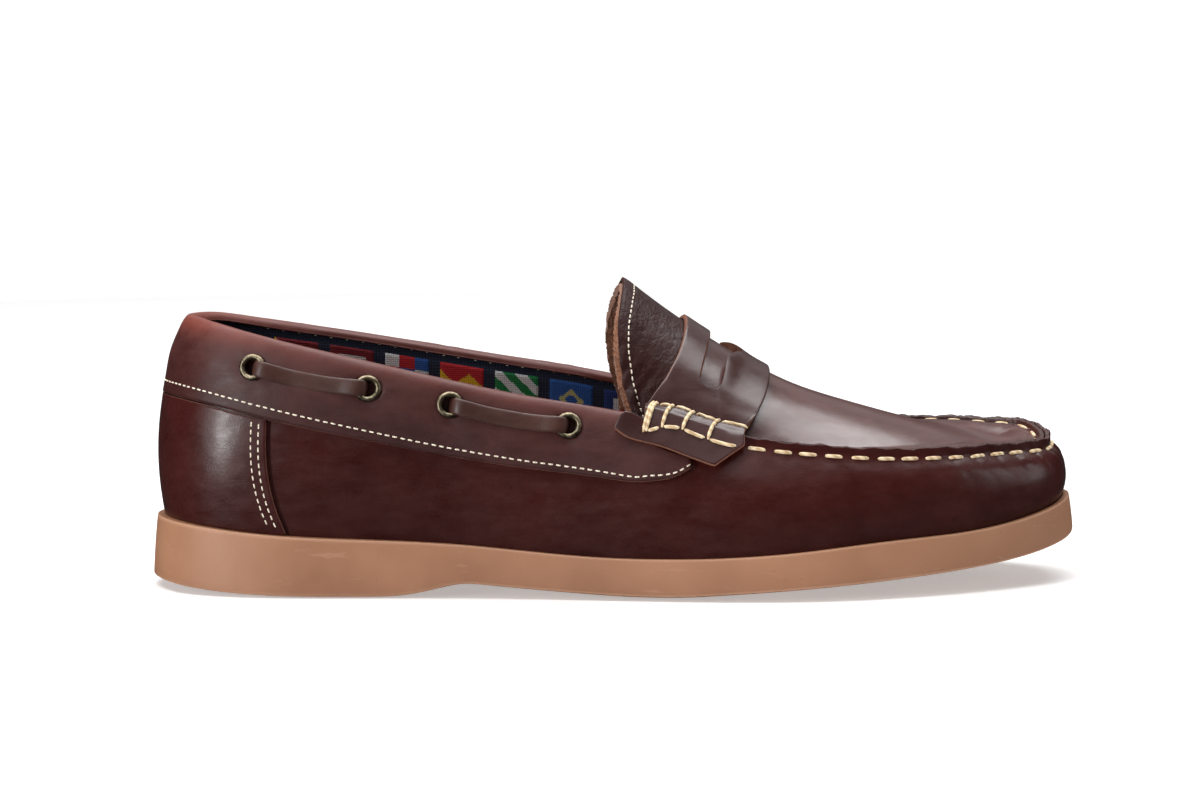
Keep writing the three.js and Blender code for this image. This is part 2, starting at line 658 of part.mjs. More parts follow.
// From the lateral tab over the seam, the apron and the other seam to the medial tab.
function makeStrap() {
  const clearOfCollar = 2 * GAP + COLLAR_LEATHER;
  const tab = (line, side) =>
    steps(3, 1, 0).map((share) => {
      const forward = (line - STRAP_LINES.rear) / (STRAP_LINES.front - STRAP_LINES.rear);
      const bend = lerp(0.5, 1, forward);
      const seam = positionAt(topX, seamX(line) - TAB.sweep * share ** bend);
      const depth = lerp(TAB.rear, TAB.front, forward ** 0.6) * share ** (1 / bend);
      const p = side < 0 ? seam : LOOP - seam;
      return onWall(p, down(p, 1 + depth), clearOfCollar);
    });
  const roll = (line, side) => {
    const seam = positionAt(topX, seamX(line));
    const p = side < 0 ? seam : LOOP - seam;
    const up = new THREE.Vector3(0, 0, GAP);
    const insets = [-GAP - 0.5, SEAM_LEATHER + GAP / 2, 2 * SEAM_LEATHER + 2 * GAP + 0.5];
    return insets.map((inset, i) => {
      const point = topEdge(p).addScaledVector(topOut(p), -inset).add(up);
      point.z += RIDGE + (i === 1 ? 0.5 : 0);
      return point;
    });
  };
  const lower = steps(6, STRAP_LINES.rear, STRAP_LINES.front).map((line) => {
    const middle = steps(14, 0.05, 0.95).map((share) => {
      const point = instep(line, share, 2 * SEAM_LEATHER + GAP);
      const nearRoll = 1 - smoothstep(Math.min(share, 1 - share), 0.02, 0.16);
      point.z += 1.4 * GAP + RIDGE * 0.75 * nearRoll;
      return point;
    });
    return [
      ...tab(line, -1),
      ...roll(line, -1),
      ...middle,
      ...roll(line, 1).reverse(),
      ...tab(line, 1).reverse(),
    ];
  });
  return sheet(lower, thicken(lower, STRAP_LEATHER));
}

// ---------------------------------------------------------------- assembly

const shoe = new THREE.Group();
shoe.name = "boat_shoe";

function add(name, geometry, color, roughness = 0.5, metalness = 0) {
  const material = new THREE.MeshStandardMaterial({ color, roughness, metalness });
  const mesh = new THREE.Mesh(geometry, material);
  mesh.name = name;
  shoe.add(mesh);
}

add("outsole", makeOutsole(), 0xb5793f, 0.45);
add("insole", makeInsole(), 0x8a6a48, 0.8);
add("upper", makeUpper(), 0x4a2019, 0.4);
add("apron", makeApron(), 0x4f231b, 0.4);
add("tongue", makeTongue(), 0x47201a, 0.5);
add("heel_counter", makeHeelCounter(), 0x451d17, 0.4);
add("collar", makeCollar(), 0x4c221b, 0.4);
add("strap", makeStrap(), 0x54261d, 0.35);

const eyelets = eyeletPlaces();
const sideName = (side) => (side < 0 ? "outer" : "inner");
for (const place of eyelets)
  add(`eyelet_${sideName(place.side)}_${place.number}`, makeEyelet(place), 0x8f6f45, 0.4, 1);
for (const side of [-1, 1]) {
  const [a, b, c, d] = eyelets.filter((place) => place.side === side);
  add(`lace_${sideName(side)}_rear`, makeLaceBar(a, b), 0x5a3522, 0.7);
  add(`lace_${sideName(side)}_front`, makeLaceBar(c, d), 0x5a3522, 0.7);
}

// The origin is the middle of the overall box, at floor level.
const box = new THREE.Box3().setFromObject(shoe);
const middle = box.getCenter(new THREE.Vector3());
for (const mesh of shoe.children) mesh.geometry.translate(-middle.x, -middle.y, -box.min.z);

export default shoe;
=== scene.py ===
# %% [markdown]
# # A boat shoe, dressed over its CAD frame
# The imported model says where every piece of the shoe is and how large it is. Each piece is
# taken from there, softened, creased and stitched, and gets a finish of its own. Lengths in
# this lesson are written in millimetres and multiplied by MM, because Blender works in metres.
# The foot points along +X, and the outer side of this right shoe faces -Y.

# %% Load the frame
import math
from collections import Counter, defaultdict

import bpy
import numpy as np
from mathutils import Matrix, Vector
from mathutils.bvhtree import BVHTree


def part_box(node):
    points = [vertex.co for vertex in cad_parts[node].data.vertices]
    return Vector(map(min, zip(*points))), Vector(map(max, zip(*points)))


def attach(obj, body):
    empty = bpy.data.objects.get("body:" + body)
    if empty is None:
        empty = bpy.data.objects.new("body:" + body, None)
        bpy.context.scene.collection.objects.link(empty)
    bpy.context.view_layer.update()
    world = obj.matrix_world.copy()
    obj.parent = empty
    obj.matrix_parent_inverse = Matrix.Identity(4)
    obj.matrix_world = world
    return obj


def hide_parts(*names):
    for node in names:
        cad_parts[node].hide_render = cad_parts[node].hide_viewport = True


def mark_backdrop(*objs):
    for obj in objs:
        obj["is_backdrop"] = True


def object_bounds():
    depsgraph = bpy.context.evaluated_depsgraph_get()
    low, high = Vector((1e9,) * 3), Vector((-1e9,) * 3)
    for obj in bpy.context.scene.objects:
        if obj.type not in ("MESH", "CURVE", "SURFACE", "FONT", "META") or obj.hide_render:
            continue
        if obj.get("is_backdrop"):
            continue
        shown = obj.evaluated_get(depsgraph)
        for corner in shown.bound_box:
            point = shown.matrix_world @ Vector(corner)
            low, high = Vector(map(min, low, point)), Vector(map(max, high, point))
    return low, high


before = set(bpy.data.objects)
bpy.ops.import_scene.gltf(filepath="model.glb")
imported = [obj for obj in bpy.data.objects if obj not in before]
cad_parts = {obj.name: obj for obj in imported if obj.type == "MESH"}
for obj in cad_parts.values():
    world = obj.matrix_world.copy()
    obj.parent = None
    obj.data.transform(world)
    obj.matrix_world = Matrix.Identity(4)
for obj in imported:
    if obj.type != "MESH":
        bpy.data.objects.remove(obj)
cad_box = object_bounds()
MM = 0.001
random = np.random.default_rng(11)
print("nodes", len(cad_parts), "box", [round(v / MM, 1) for v in (*cad_box[0], *cad_box[1])])

# %% [markdown]
# ## The studio
# The shoe stands on a white sweep under one large soft light overhead, with a second
# one at the heel and dark space behind the camera, so that dark leather keeps its depth and
# shows long grey reflections. The white far ground is a dome that lights nothing.

# %% Camera
CAMERA_AT = Vector((-83.5, -1497.1, 230)) * MM
CAMERA_TARGET = Vector((-5, 0.856, 57.5)) * MM
camera_data = bpy.data.cameras.new("camera")
camera_data.lens = 142.65
camera_data.sensor_width = 36
camera_data.clip_end = 100
camera = bpy.data.objects.new("camera", camera_data)
camera.location = CAMERA_AT
camera.rotation_euler = (CAMERA_TARGET - CAMERA_AT).to_track_quat("-Z", "Y").to_euler()
bpy.context.scene.collection.objects.link(camera)
bpy.context.scene.camera = camera


# %% Sockets that take part in sums
def plug(tree, value, slot):
    """Links a socket, or sets a plain value."""
    if isinstance(value, Socket):
        tree.links.new(value.socket, slot)
    else:
        slot.default_value = value


class Socket:
    """A shader socket; each operator adds one Math node."""

    def __init__(self, tree, socket):
        self.tree = tree
        self.socket = socket

    def math(self, operation, *others, clamp=False):
        node = self.tree.nodes.new("ShaderNodeMath")
        node.operation = operation
        node.use_clamp = clamp
        for slot, value in zip(node.inputs, (self, *others)):
            plug(self.tree, value, slot)
        return Socket(self.tree, node.outputs[0])

    def __add__(self, other):
        return self.math("ADD", other)

    def __mul__(self, other):
        return self.math("MULTIPLY", other)

    def __rsub__(self, other):
        return self.math("MULTIPLY_ADD", -1, other)

    __radd__ = __add__
    __rmul__ = __mul__

    def clamped(self):
        return self.math("ADD", 0, clamp=True)


class Finish:
    """A material with one principled shader. Numbers that are the same all over are set here."""

    def __init__(self, name, **numbers):
        self.material = bpy.data.materials.new(name)
        self.material.use_nodes = True
        self.tree = self.material.node_tree
        self.shader = self.tree.nodes["Principled BSDF"]
        self.set(**numbers)

    def set(self, **values):
        for label, value in values.items():
            plug(self.tree, value, self.shader.inputs[label.replace("_", " ")])

    def node(self, kind, settings=None, inputs=None, output=0):
        node = self.tree.nodes.new("ShaderNode" + kind)
        for key, value in (settings or {}).items():
            if key == "stops":
                stops = node.color_ramp.elements
                while len(stops) < len(value):
                    stops.new(1)
                for stop, (at, color) in zip(stops, value):
                    stop.position = at
                    stop.color = (*color, 1)
            else:
                setattr(node, key, value)
        for key, value in (inputs or {}).items():
            plug(self.tree, value, node.inputs[key])
        return Socket(self.tree, node.outputs[output])

    def place(self, scale=(1, 1, 1), turn=(0, 0, 0)):
        """Object coordinates, stretched and turned."""
        spot = self.node("TexCoord", output=3)
        return self.node("Mapping", None, {"Vector": spot, "Scale": scale, "Rotation": turn})

    def noise(self, size, place, detail=3.0, roughness=0.5, distortion=0.0):
        """Clouds about as large as size, in metres."""
        values = {"Scale": 1 / size, "Vector": place, "Detail": detail}
        values.update({"Roughness": roughness, "Distortion": distortion})
        return self.node("TexNoise", None, values)

    def cells(self, size, place):
        """Distance to the nearest of many scattered points."""
        return self.node("TexVoronoi", None, {"Scale": 1 / size, "Vector": place})

    def spread(self, value, low, high, to_low=0.0, to_high=1.0):
        """Moves the range low..high to another one, without going past its ends."""
        values = {0: value, 1: low, 2: high, 3: to_low, 4: to_high}
        return self.node("MapRange", {"clamp": True}, values)

    def mix(self, share, first, second):
        first, second = ((*c, 1) if isinstance(c, tuple) else c for c in (first, second))
        return self.node("Mix", {"data_type": "RGBA"}, {0: share, 6: first, 7: second}, output=2)

    def bump(self, height, distance, strength=1.0, under=None):
        values = {"Height": height, "Distance": distance, "Strength": strength}
        if under is not None:
            values["Normal"] = under
        return self.node("Bump", None, values)

    def attribute(self, name, output=2):
        return self.node("Attribute", {"attribute_name": name}, output=output)


# %% Colours as on a paint chart
def shade(red, green, blue):
    """An 8-bit screen colour as the linear light that shaders work in."""
    return tuple(
        (c / 12.92 if c <= 0.04045 else ((c + 0.055) / 1.055) ** 2.4)
        for c in (red / 255, green / 255, blue / 255)
    )


# %% Floor, dome and lights
def select_only(*objects):
    bpy.ops.object.select_all(action="DESELECT")
    for obj in objects:
        obj.select_set(True)
        bpy.context.view_layer.objects.active = obj


def settle(obj):
    """The object's place goes into its mesh."""
    select_only(obj)
    bpy.ops.object.transform_apply(location=True, rotation=True, scale=True)


bpy.ops.object.select_all(action="DESELECT")
bpy.ops.mesh.primitive_circle_add(vertices=96, radius=1.0, fill_type="NGON", location=(0, 0, 0))
floor = bpy.context.object
floor.name = "floor"
floor_paint = Finish("floor_paint", Base_Color=(0.78, 0.78, 0.78, 1), Roughness=0.35)
floor_paint.set(Emission_Color=(1, 1, 1, 1), Emission_Strength=0.38)
floor.data.materials.append(floor_paint.material)
bpy.ops.mesh.primitive_uv_sphere_add(segments=48, ring_count=24, radius=7, location=(0, 0, 0))
dome = bpy.context.object
dome.name = "far_ground"
dome_paint = Finish("far_ground_paint", Base_Color=(1, 1, 1, 1))
dome_paint.set(Emission_Color=(1, 1, 1, 1), Emission_Strength=1.0)
dome.data.materials.append(dome_paint.material)
for ray in ("diffuse", "glossy", "transmission", "shadow", "volume_scatter"):
    setattr(dome, "visible_" + ray, False)
floor.visible_glossy = False
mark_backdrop(floor, dome)


def soft_light(name, at, towards, size, watts):
    data = bpy.data.lights.new(name, "AREA")
    data.shape = "RECTANGLE"
    data.size, data.size_y = size
    data.energy = watts
    light = bpy.data.objects.new(name, data)
    light.location = at
    aim = Vector(towards) - Vector(at)
    light.rotation_euler = aim.to_track_quat("-Z", "Y").to_euler()
    light.visible_camera = False
    bpy.context.scene.collection.objects.link(light)


soft_light("overhead", (-0.05, 0.12, 1.25), (0, 0, 0.05), (1.9, 1.1), 37)
soft_light("behind", (0.15, 1.5, 0.75), (0.02, 0, 0.06), (1.8, 0.7), 1.3)
soft_light("at_the_heel", (-1.15, -1.0, 0.32), (-0.08, 0, 0.05), (0.14, 0.7), 12)
soft_light("at_the_toe", (1.3, -0.25, 0.5), (0.1, 0, 0.05), (0.2, 0.7), 1.8)
soft_light("front_fill", (-0.35, -1.2, 1.5), (-0.05, 0, 0.05), (1.2, 0.6), 2.6)
world = bpy.data.worlds.new("room")
bpy.context.scene.world = world
world.use_nodes = True
room_light = world.node_tree.nodes["Background"].inputs
room_light["Color"].default_value = (1, 1, 1, 1)
room_light["Strength"].default_value = 0.035
bpy.context.scene.view_settings.view_transform = "Standard"

# %% [markdown]
# ## Tools of the bench
# A CAD node is a mesh of loose triangles. A copy of it is merged, turned back into quads
# where it can be, and given creases on its sharp edges, so that subdivision rounds the leather
# and keeps its cut edges. The same few helpers find a rim, walk along it at an even pace, and
# lay a row of stitches on the leather beside it.


# %% Copies of CAD nodes
def modify(obj, kind, **settings):
    """Adds a modifier, sets it and applies it."""
    select_only(obj)
    modifier = obj.modifiers.new(kind, kind)
    for key, value in settings.items():
        setattr(modifier, key, value)
    bpy.ops.object.modifier_apply(modifier=modifier.name)


def subdivide(obj, levels):
    modify(obj, "SUBSURF", levels=levels, render_levels=levels)


def object_with(name, mesh):
    obj = bpy.data.objects.new(name, mesh)
    bpy.context.scene.collection.objects.link(obj)
    return obj


def built(name, points, faces, edges=()):
    """A new object from lists of corners and faces."""
    mesh = bpy.data.meshes.new(name)
    mesh.from_pydata([tuple(p) for p in points], list(edges), faces)
    return object_with(name, mesh)


def turn_faces_outwards(obj):
    select_only(obj)
    bpy.ops.object.mode_set(mode="EDIT")
    bpy.ops.mesh.select_all(action="SELECT")
    bpy.ops.mesh.normals_make_consistent(inside=False)
    bpy.ops.object.mode_set(mode="OBJECT")


def copy_of(node, name):
    obj = object_with(name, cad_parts[node].data.copy())
    obj.data.materials.clear()
    select_only(obj)
    bpy.ops.object.mode_set(mode="EDIT")
    bpy.ops.mesh.select_all(action="SELECT")
    bpy.ops.mesh.remove_doubles(threshold=0.01 * MM)
    wide = math.radians(50)
    bpy.ops.mesh.tris_convert_to_quads(face_threshold=wide, shape_threshold=wide)
    bpy.ops.object.mode_set(mode="OBJECT")
    return obj


def keep_faces(obj, wanted):
    """Deletes every face that wanted turns down."""
    select_only(obj)
    bpy.ops.object.mode_set(mode="EDIT")
    bpy.ops.mesh.select_all(action="DESELECT")
    bpy.ops.object.mode_set(mode="OBJECT")
    drop = [not wanted(face) for face in obj.data.polygons]
    obj.data.polygons.foreach_set("select", drop)
    bpy.ops.object.mode_set(mode="EDIT")
    bpy.ops.mesh.select_mode(type="FACE")
    bpy.ops.mesh.delete(type="FACE")
    bpy.ops.object.mode_set(mode="OBJECT")


def crease(obj, angle, amount, corner=33):
    """Edges that turn by more than angle keep their shape when the mesh is subdivided, and so
    do the corners of a cut edge."""
    mesh = obj.data
    normals = defaultdict(list)
    for face in mesh.polygons:
        for key in face.edge_keys:
            normals[key].append(face.normal.copy())
    values = []
    for edge in mesh.edges:
        sides = normals[edge.key]
        turned = len(sides) == 2 and sides[0].angle(sides[1], 0) > math.radians(angle)
        values.append(amount if turned else 0.0)
    mesh.attributes.new("crease_edge", "FLOAT", "EDGE").data.foreach_set("value", values)
    creased = defaultdict(list)
    for edge, value in zip(mesh.edges, values):
        for here, there in (edge.vertices, reversed(edge.vertices)):
            if value:
                creased[here].append(mesh.vertices[there].co - mesh.vertices[here].co)
    corners = [0.0] * len(mesh.vertices)
    for vertex, ways in creased.items():
        turned = len(ways) == 2 and ways[0].angle(-ways[1], 0) > math.radians(corner)
        corners[vertex] = 0.85 if turned else 0.0
    store(obj, "crease_vert", corners)


def read(obj):
    points = np.empty(len(obj.data.vertices) * 3)
    obj.data.vertices.foreach_get("co", points)
    return points.reshape(-1, 3)


def write(obj, points):
    obj.data.vertices.foreach_set("co", points.ravel())
    obj.data.update()


def store(obj, name, values):
    """Keeps one number a vertex on the piece, for its finish."""
    obj.data.attributes.new(name, "FLOAT", "POINT").data.foreach_set("value", values)


def facing(obj):
    """Each vertex's normal."""
    normals = np.empty(len(obj.data.vertices) * 3)
    obj.data.vertex_normals.foreach_get("vector", normals)
    return normals.reshape(-1, 3)


def give(obj, slot, *finishes, nodes=()):
    """Finishes, body and replaced nodes of a ready piece. The slot is not used."""
    for finish in finishes:
        obj.data.materials.append(finish.material)
    select_only(obj)
    bpy.ops.object.shade_smooth_by_angle(angle=math.radians(50))
    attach(obj, "root")
    if nodes:
        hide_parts(*nodes)
    print(obj.name, len(obj.data.polygons), "faces")


# %% Places around the foot
SPINE = (-105 * MM, 95 * MM)  # a line inside the foot, from heel to toe


def outwardness(point):
    """Level distance from the foot's middle line."""
    x = min(max(point[0], SPINE[0]), SPINE[1])
    return math.hypot(point[0] - x, point[1])


def outward(points):
    """Level directions away from the middle line."""
    x = np.clip(points[:, 0], *SPINE)
    away = np.stack([points[:, 0] - x, points[:, 1], np.zeros(len(points))], axis=1)
    return away / np.linalg.norm(away, axis=1, keepdims=True)


def width_of(face, mesh):
    """Narrow side of a strip's face: its area over its longest edge."""
    corners = [mesh.vertices[v].co for v in face.vertices]
    longest = max((a - b).length for a, b in zip(corners, corners[1:] + corners[:1]))
    return face.area / longest


# %% Rims
def rims(obj, keep, score):
    """Lines along the side of a strip of faces where score is higher, longest first."""
    mesh = obj.data
    kept = [face for face in mesh.polygons if keep(face)]
    uses = Counter(key for face in kept for key in face.edge_keys)
    links = defaultdict(list)
    for face in kept:
        for a, b in face.edge_keys:
            middle = (mesh.vertices[a].co + mesh.vertices[b].co) / 2
            if uses[(a, b)] == 1 and score(middle) > score(face.center) + 0.2 * MM:
                links[a].append(b)
                links[b].append(a)
    lines = []
    left = set(links)
    while left:
        ends = [v for v in left if len(links[v]) == 1]
        at = min(ends) if ends else min(left)
        line = [at]
        left.discard(at)
        while True:
            following = [v for v in links[line[-1]] if v in left]
            if not following:
                break
            line.append(following[0])
            left.discard(following[0])
        if line[0] in links[line[-1]] and len(line) > 2:
            line.append(line[0])
        lines.append(np.array([mesh.vertices[v].co for v in line]))
    return sorted(lines, key=len, reverse=True)


def smooth_line(points, spacing):
    """A curve through the points, as points at an even spacing."""
    closed = np.allclose(points[0], points[-1])
    before = points[-2] if closed else 2 * points[0] - points[1]
    after = points[1] if closed else 2 * points[-1] - points[-2]
    all_points = np.vstack([before, points, after])
    fine = []
    for a, b, c, d in zip(all_points, all_points[1:], all_points[2:], all_points[3:]):
        for t in np.linspace(0, 1, 9)[:-1]:
            bend = (2 * a - 5 * b + 4 * c - d) * t * t + (3 * b - a - 3 * c + d) * t**3
            fine.append((2 * b + (c - a) * t + bend) / 2)
    fine.append(points[-1])
    return evenly(np.array(fine), spacing)


def lengths(points):
    gaps = np.linalg.norm(np.diff(points, axis=0), axis=1)
    return np.concatenate([[0], np.cumsum(gaps)])


def evenly(points, spacing):
    run = lengths(points)
    count = max(int(round(run[-1] / spacing)), 1) + 1
    return at_lengths(points, np.linspace(0, run[-1], count))


def at_lengths(points, wanted):
    run = lengths(points)
    return np.stack([np.interp(wanted, run, points[:, i]) for i in range(3)], axis=1)


# %% Stitches
def thread_shape(name, segments, rings):
    """One stitch of unit length and radius, along X, flat end to flat end like a capsule."""
    bpy.ops.object.select_all(action="DESELECT")
    bpy.ops.mesh.primitive_uv_sphere_add(segments=segments, ring_count=rings, radius=1)
    obj = bpy.context.object
    bpy.ops.object.mode_set(mode="EDIT")
    bpy.ops.mesh.select_all(action="SELECT")
    bpy.ops.transform.rotate(value=math.pi / 2, orient_axis="Y", center_override=(0, 0, 0))
    bpy.ops.object.mode_set(mode="OBJECT")
    points = read(obj)
    points[:, 0] = np.sign(points[:, 0]) * np.abs(points[:, 0]) ** 0.4 * 0.5
    faces = [tuple(face.vertices) for face in obj.data.polygons]
    bpy.data.objects.remove(obj)
    print(name, "has", len(faces), "faces")
    return points, faces


fine_thread = thread_shape("fine stitch", 6, 5)
thick_thread = thread_shape("thick stitch", 8, 10)


def surface(obj):
    """A tree for finding the nearest point of a piece, or where a ray meets it."""
    mesh = obj.data
    corners = [vertex.co for vertex in mesh.vertices]
    return BVHTree.FromPolygons(corners, [face.vertices for face in mesh.polygons])


def lay(points, tree):
    """Moves points onto a surface, and says which way it faces there."""
    found = [tree.find_nearest(Vector(p)) for p in points]
    return np.array([f[0] for f in found]), np.array([f[1] for f in found])


def joined(parts):
    """Several sets of corners and faces as one."""
    faces = []
    first = 0
    for corners, part in parts:
        faces += [tuple(v + first for v in face) for face in part]
        first += len(corners)
    return np.vstack([corners for corners, _ in parts]), faces


def stitches(starts, ends, normals, radius, shape, height=0.35, dip=0.8):
    """Threads from starts to ends, standing on a surface, their ends drawn into it."""
    base, faces = shape
    threads = []
    for start, end, normal in zip(starts, ends, normals):
        along = end - start
        length = np.linalg.norm(along)
        along = along / length
        normal = normal - along * normal.dot(along)
        normal = normal / np.linalg.norm(normal)
        across = np.cross(normal, along)
        lift = base[:, 2] + height - dip * (2 * base[:, 0]) ** 4
        thread = (start + end) / 2 + np.outer(base[:, 0] * length, along)
        thread += np.outer(base[:, 1] * radius, across) + np.outer(lift * radius, normal)
        threads.append((thread, faces))
    return joined(threads)


def row(line, tree, length, pitch, radius, shape, phase=0.0, **form):
    """One row of stitches along a line, on the surface of tree."""
    run = lengths(line)[-1]
    begin = np.arange(phase, run - length, pitch)
    begin = begin + random.uniform(-0.04, 0.04, len(begin)) * pitch
    starts, facing_a = lay(at_lengths(line, begin), tree)
    ends, facing_b = lay(at_lengths(line, begin + length), tree)
    return stitches(starts, ends, facing_a + facing_b, radius, shape, **form)


# %% [markdown]
# ## Leather
# The upper is a smooth waxed leather, burgundy that is nearly black where it lies in shadow
# and redder where it is rubbed. A voronoi pattern gives it its pores, and slow clouds of noise
# shift its colour and gloss, because wax never sits evenly.


# %% Leather finish
def leather(name, dark, light, roughness, pores=0.25, wrinkle=0.0, worn=None, coat=0.25):
    finish = Finish(name, Specular_IOR_Level=0.5, Coat_Roughness=0.22, IOR=1.48)
    spot = finish.place()
    cloud = finish.noise(22 * MM, spot, 4, 0.6)
    smudge = finish.noise(5 * MM, finish.place((0.5, 1, 1.3)), 5, 0.65)
    share = finish.spread(cloud * 0.5 + smudge * 0.5, 0.28, 0.72)
    colour = finish.mix(share, dark, light)
    if worn:
        rub = finish.attribute("wear")
        colour = finish.mix((rub * (0.55 + smudge * 0.8)).clamped(), colour, worn)
    grain = finish.cells(0.75 * MM, spot)
    fine = finish.noise(0.5 * MM, spot, 3, 0.6)
    scratch = finish.noise(3 * MM, finish.place((0.25, 1, 4), (0, 0.35, 0.2)), 4, 0.7)
    finish.set(Base_Color=colour)
    smear = smudge * 0.7 + scratch * 0.3
    gloss = finish.spread(smear, 0.3, 0.7, roughness - 0.09, roughness + 0.14)
    finish.set(Roughness=gloss, Coat_Weight=finish.spread(cloud, 0.35, 0.65, coat * 0.6, coat))
    height = finish.bump(grain * 0.6 + fine * 0.4, 0.12 * MM, pores)
    height = finish.bump(scratch, 0.2 * MM, 0.1, height)
    height = finish.bump(finish.noise(13 * MM, spot, 2), 1.5 * MM, 0.3, height)
    if wrinkle:
        folds = finish.noise(1.9 * MM, finish.place((1, 0.5, 0.7), (0.2, 0.5, 0)), 3, 0.6, 0.6)
        height = finish.bump(folds, 0.9 * MM, wrinkle, height)
    finish.set(Normal=height)
    return finish


DARK = shade(44, 10, 8)
LIGHT = shade(66, 21, 17)
RUBBED = shade(112, 52, 42)
upper_finish = leather("waxed_leather", DARK, LIGHT, 0.33, worn=RUBBED)
upper_finish.set(Specular_IOR_Level=0.36)
apron_finish = leather(
    "plug_leather", shade(50, 17, 15), shade(72, 29, 25), 0.36, worn=RUBBED, coat=0.6
)
strap_finish = leather(
    "strap_leather", shade(48, 22, 20), shade(62, 29, 26), 0.38, pores=0.15, coat=0.3
)
tongue_finish = leather(
    "tongue_leather", shade(38, 14, 13), shade(50, 20, 18), 0.44, wrinkle=0.5, coat=0.05
)
tongue_finish.set(Specular_IOR_Level=0.3)
raw_finish = leather("cut_edge", shade(92, 54, 40), shade(140, 92, 70), 0.7, pores=0.8, coat=0.0)
dark_raw = leather("dark_cut_edge", shade(40, 17, 14), shade(70, 34, 26), 0.6, pores=0.9, coat=0.0)
brown_raw = leather(
    "brown_cut_edge", shade(70, 38, 30), shade(112, 68, 52), 0.65, pores=0.8, coat=0.0
)

# %% Other finishes
WAVE = 0.16  # Wave Texture scale at which half a wave is about a metre long


def suede(name, dark, light):
    finish = Finish(name, Roughness=0.95, Specular_IOR_Level=0.2, Sheen_Weight=0.3)
    nap = finish.noise(0.5 * MM, finish.place((1, 1, 0.6)), 5, 0.7)
    patchy = finish.noise(5 * MM, finish.place(), 3)
    share = finish.spread(nap * 0.7 + patchy * 0.3, 0.35, 0.65)
    finish.set(Base_Color=finish.mix(share, dark, light))
    tufts = nap * 0.6 + finish.noise(1.6 * MM, finish.place(), 3) * 0.4
    finish.set(Normal=finish.bump(tufts, 1.0 * MM, 0.9))
    return finish


def cloth(name, colour_of, thread, roughness=0.85):
    """Threads over and under each other, two families of fine waves."""
    finish = Finish(name, Roughness=roughness, Specular_IOR_Level=0.25)
    across, up = (
        finish.node(
            "TexWave",
            {"bands_direction": way},
            {"Scale": WAVE / thread, "Vector": finish.place()},
        )
        for way in ("X", "Z")
    )
    weave = across * up
    finish.set(Base_Color=colour_of(finish, weave))
    finish.set(Normal=finish.bump(weave, 0.25 * MM, 0.7))
    return finish


suede_finish = suede("suede_lining", shade(96, 58, 42), shade(166, 114, 86))
sock_finish = leather("sock_leather", shade(120, 84, 60), shade(146, 104, 76), 0.55, coat=0.0)
collar_finish = leather("collar_leather", DARK, LIGHT, 0.52, worn=RUBBED, coat=0.0)
# The navy is darker where the weave dips: painted shade between the threads.
navy_finish = cloth(
    "navy_lining",
    lambda f, weave: f.mix(weave, shade(24, 28, 42), shade(44, 50, 72)),
    0.5 * MM,
)
# Nearly black, mixed in where the weave dips: painted shade between the threads.
SHADE_BETWEEN_THREADS = (0.01, 0.01, 0.015)
patch_finish = cloth(
    "woven_thread",
    lambda f, weave: f.mix((1 - weave) * 0.35, f.attribute("thread_colour", 0), SHADE_BETWEEN_THREADS),
    0.35 * MM,
    0.7,
)
brass_finish = Finish("antique_brass", Metallic=1.0)
tarnish = brass_finish.noise(1.6 * MM, brass_finish.place(), 5, 0.65)
old = brass_finish.spread(tarnish, 0.38, 0.66)
brass_finish.set(Base_Color=brass_finish.mix(old, shade(100, 90, 72), shade(166, 154, 130)))
brass_finish.set(Roughness=brass_finish.spread(tarnish, 0.3, 0.7, 0.34, 0.55))
brass_finish.set(Normal=brass_finish.bump(tarnish, 0.1 * MM, 0.4))
lace_finish = leather(
    "rawhide_lace", shade(46, 21, 16), shade(74, 38, 28), 0.46, pores=0.3, coat=0.05
)


def waxed_thread(name, dark, light, strand):
    """Twisted strands, seen as slanting waves, with painted shade between them."""
    finish = Finish(name, Roughness=0.6, Specular_IOR_Level=0.35)
    twist = finish.node(
        "TexWave",
        {"bands_direction": "DIAGONAL"},
        {"Scale": WAVE / strand, "Vector": finish.place(), "Distortion": 1.5, "Detail": 2.0},
    )
    soil = finish.noise(6 * MM, finish.place(), 4, 0.6)
    # The colour is darker where the twist's wave dips, in the grooves between the strands: painted
    # shade.
    share = finish.spread(twist * 0.35 + soil * 0.65, 0.25, 0.65)
    finish.set(Base_Color=finish.mix(share, dark, light))
    finish.set(Normal=finish.bump(twist, 0.15 * MM, 0.3))
    return finish


thread_finish = waxed_thread(
    "thick_cream_thread", shade(180, 148, 108), shade(232, 210, 174), 0.9 * MM
)
fine_thread_finish = waxed_thread(
    "fine_cream_thread", shade(196, 180, 158), shade(238, 228, 210), 0.25 * MM
)

# %% [markdown]
# ## Rubber
# The sole is a satin caramel rubber. Clouds of noise shift its tone a little, darker specks of
# dirt and pale nicks sit in it, and long shallow scratches catch the light.

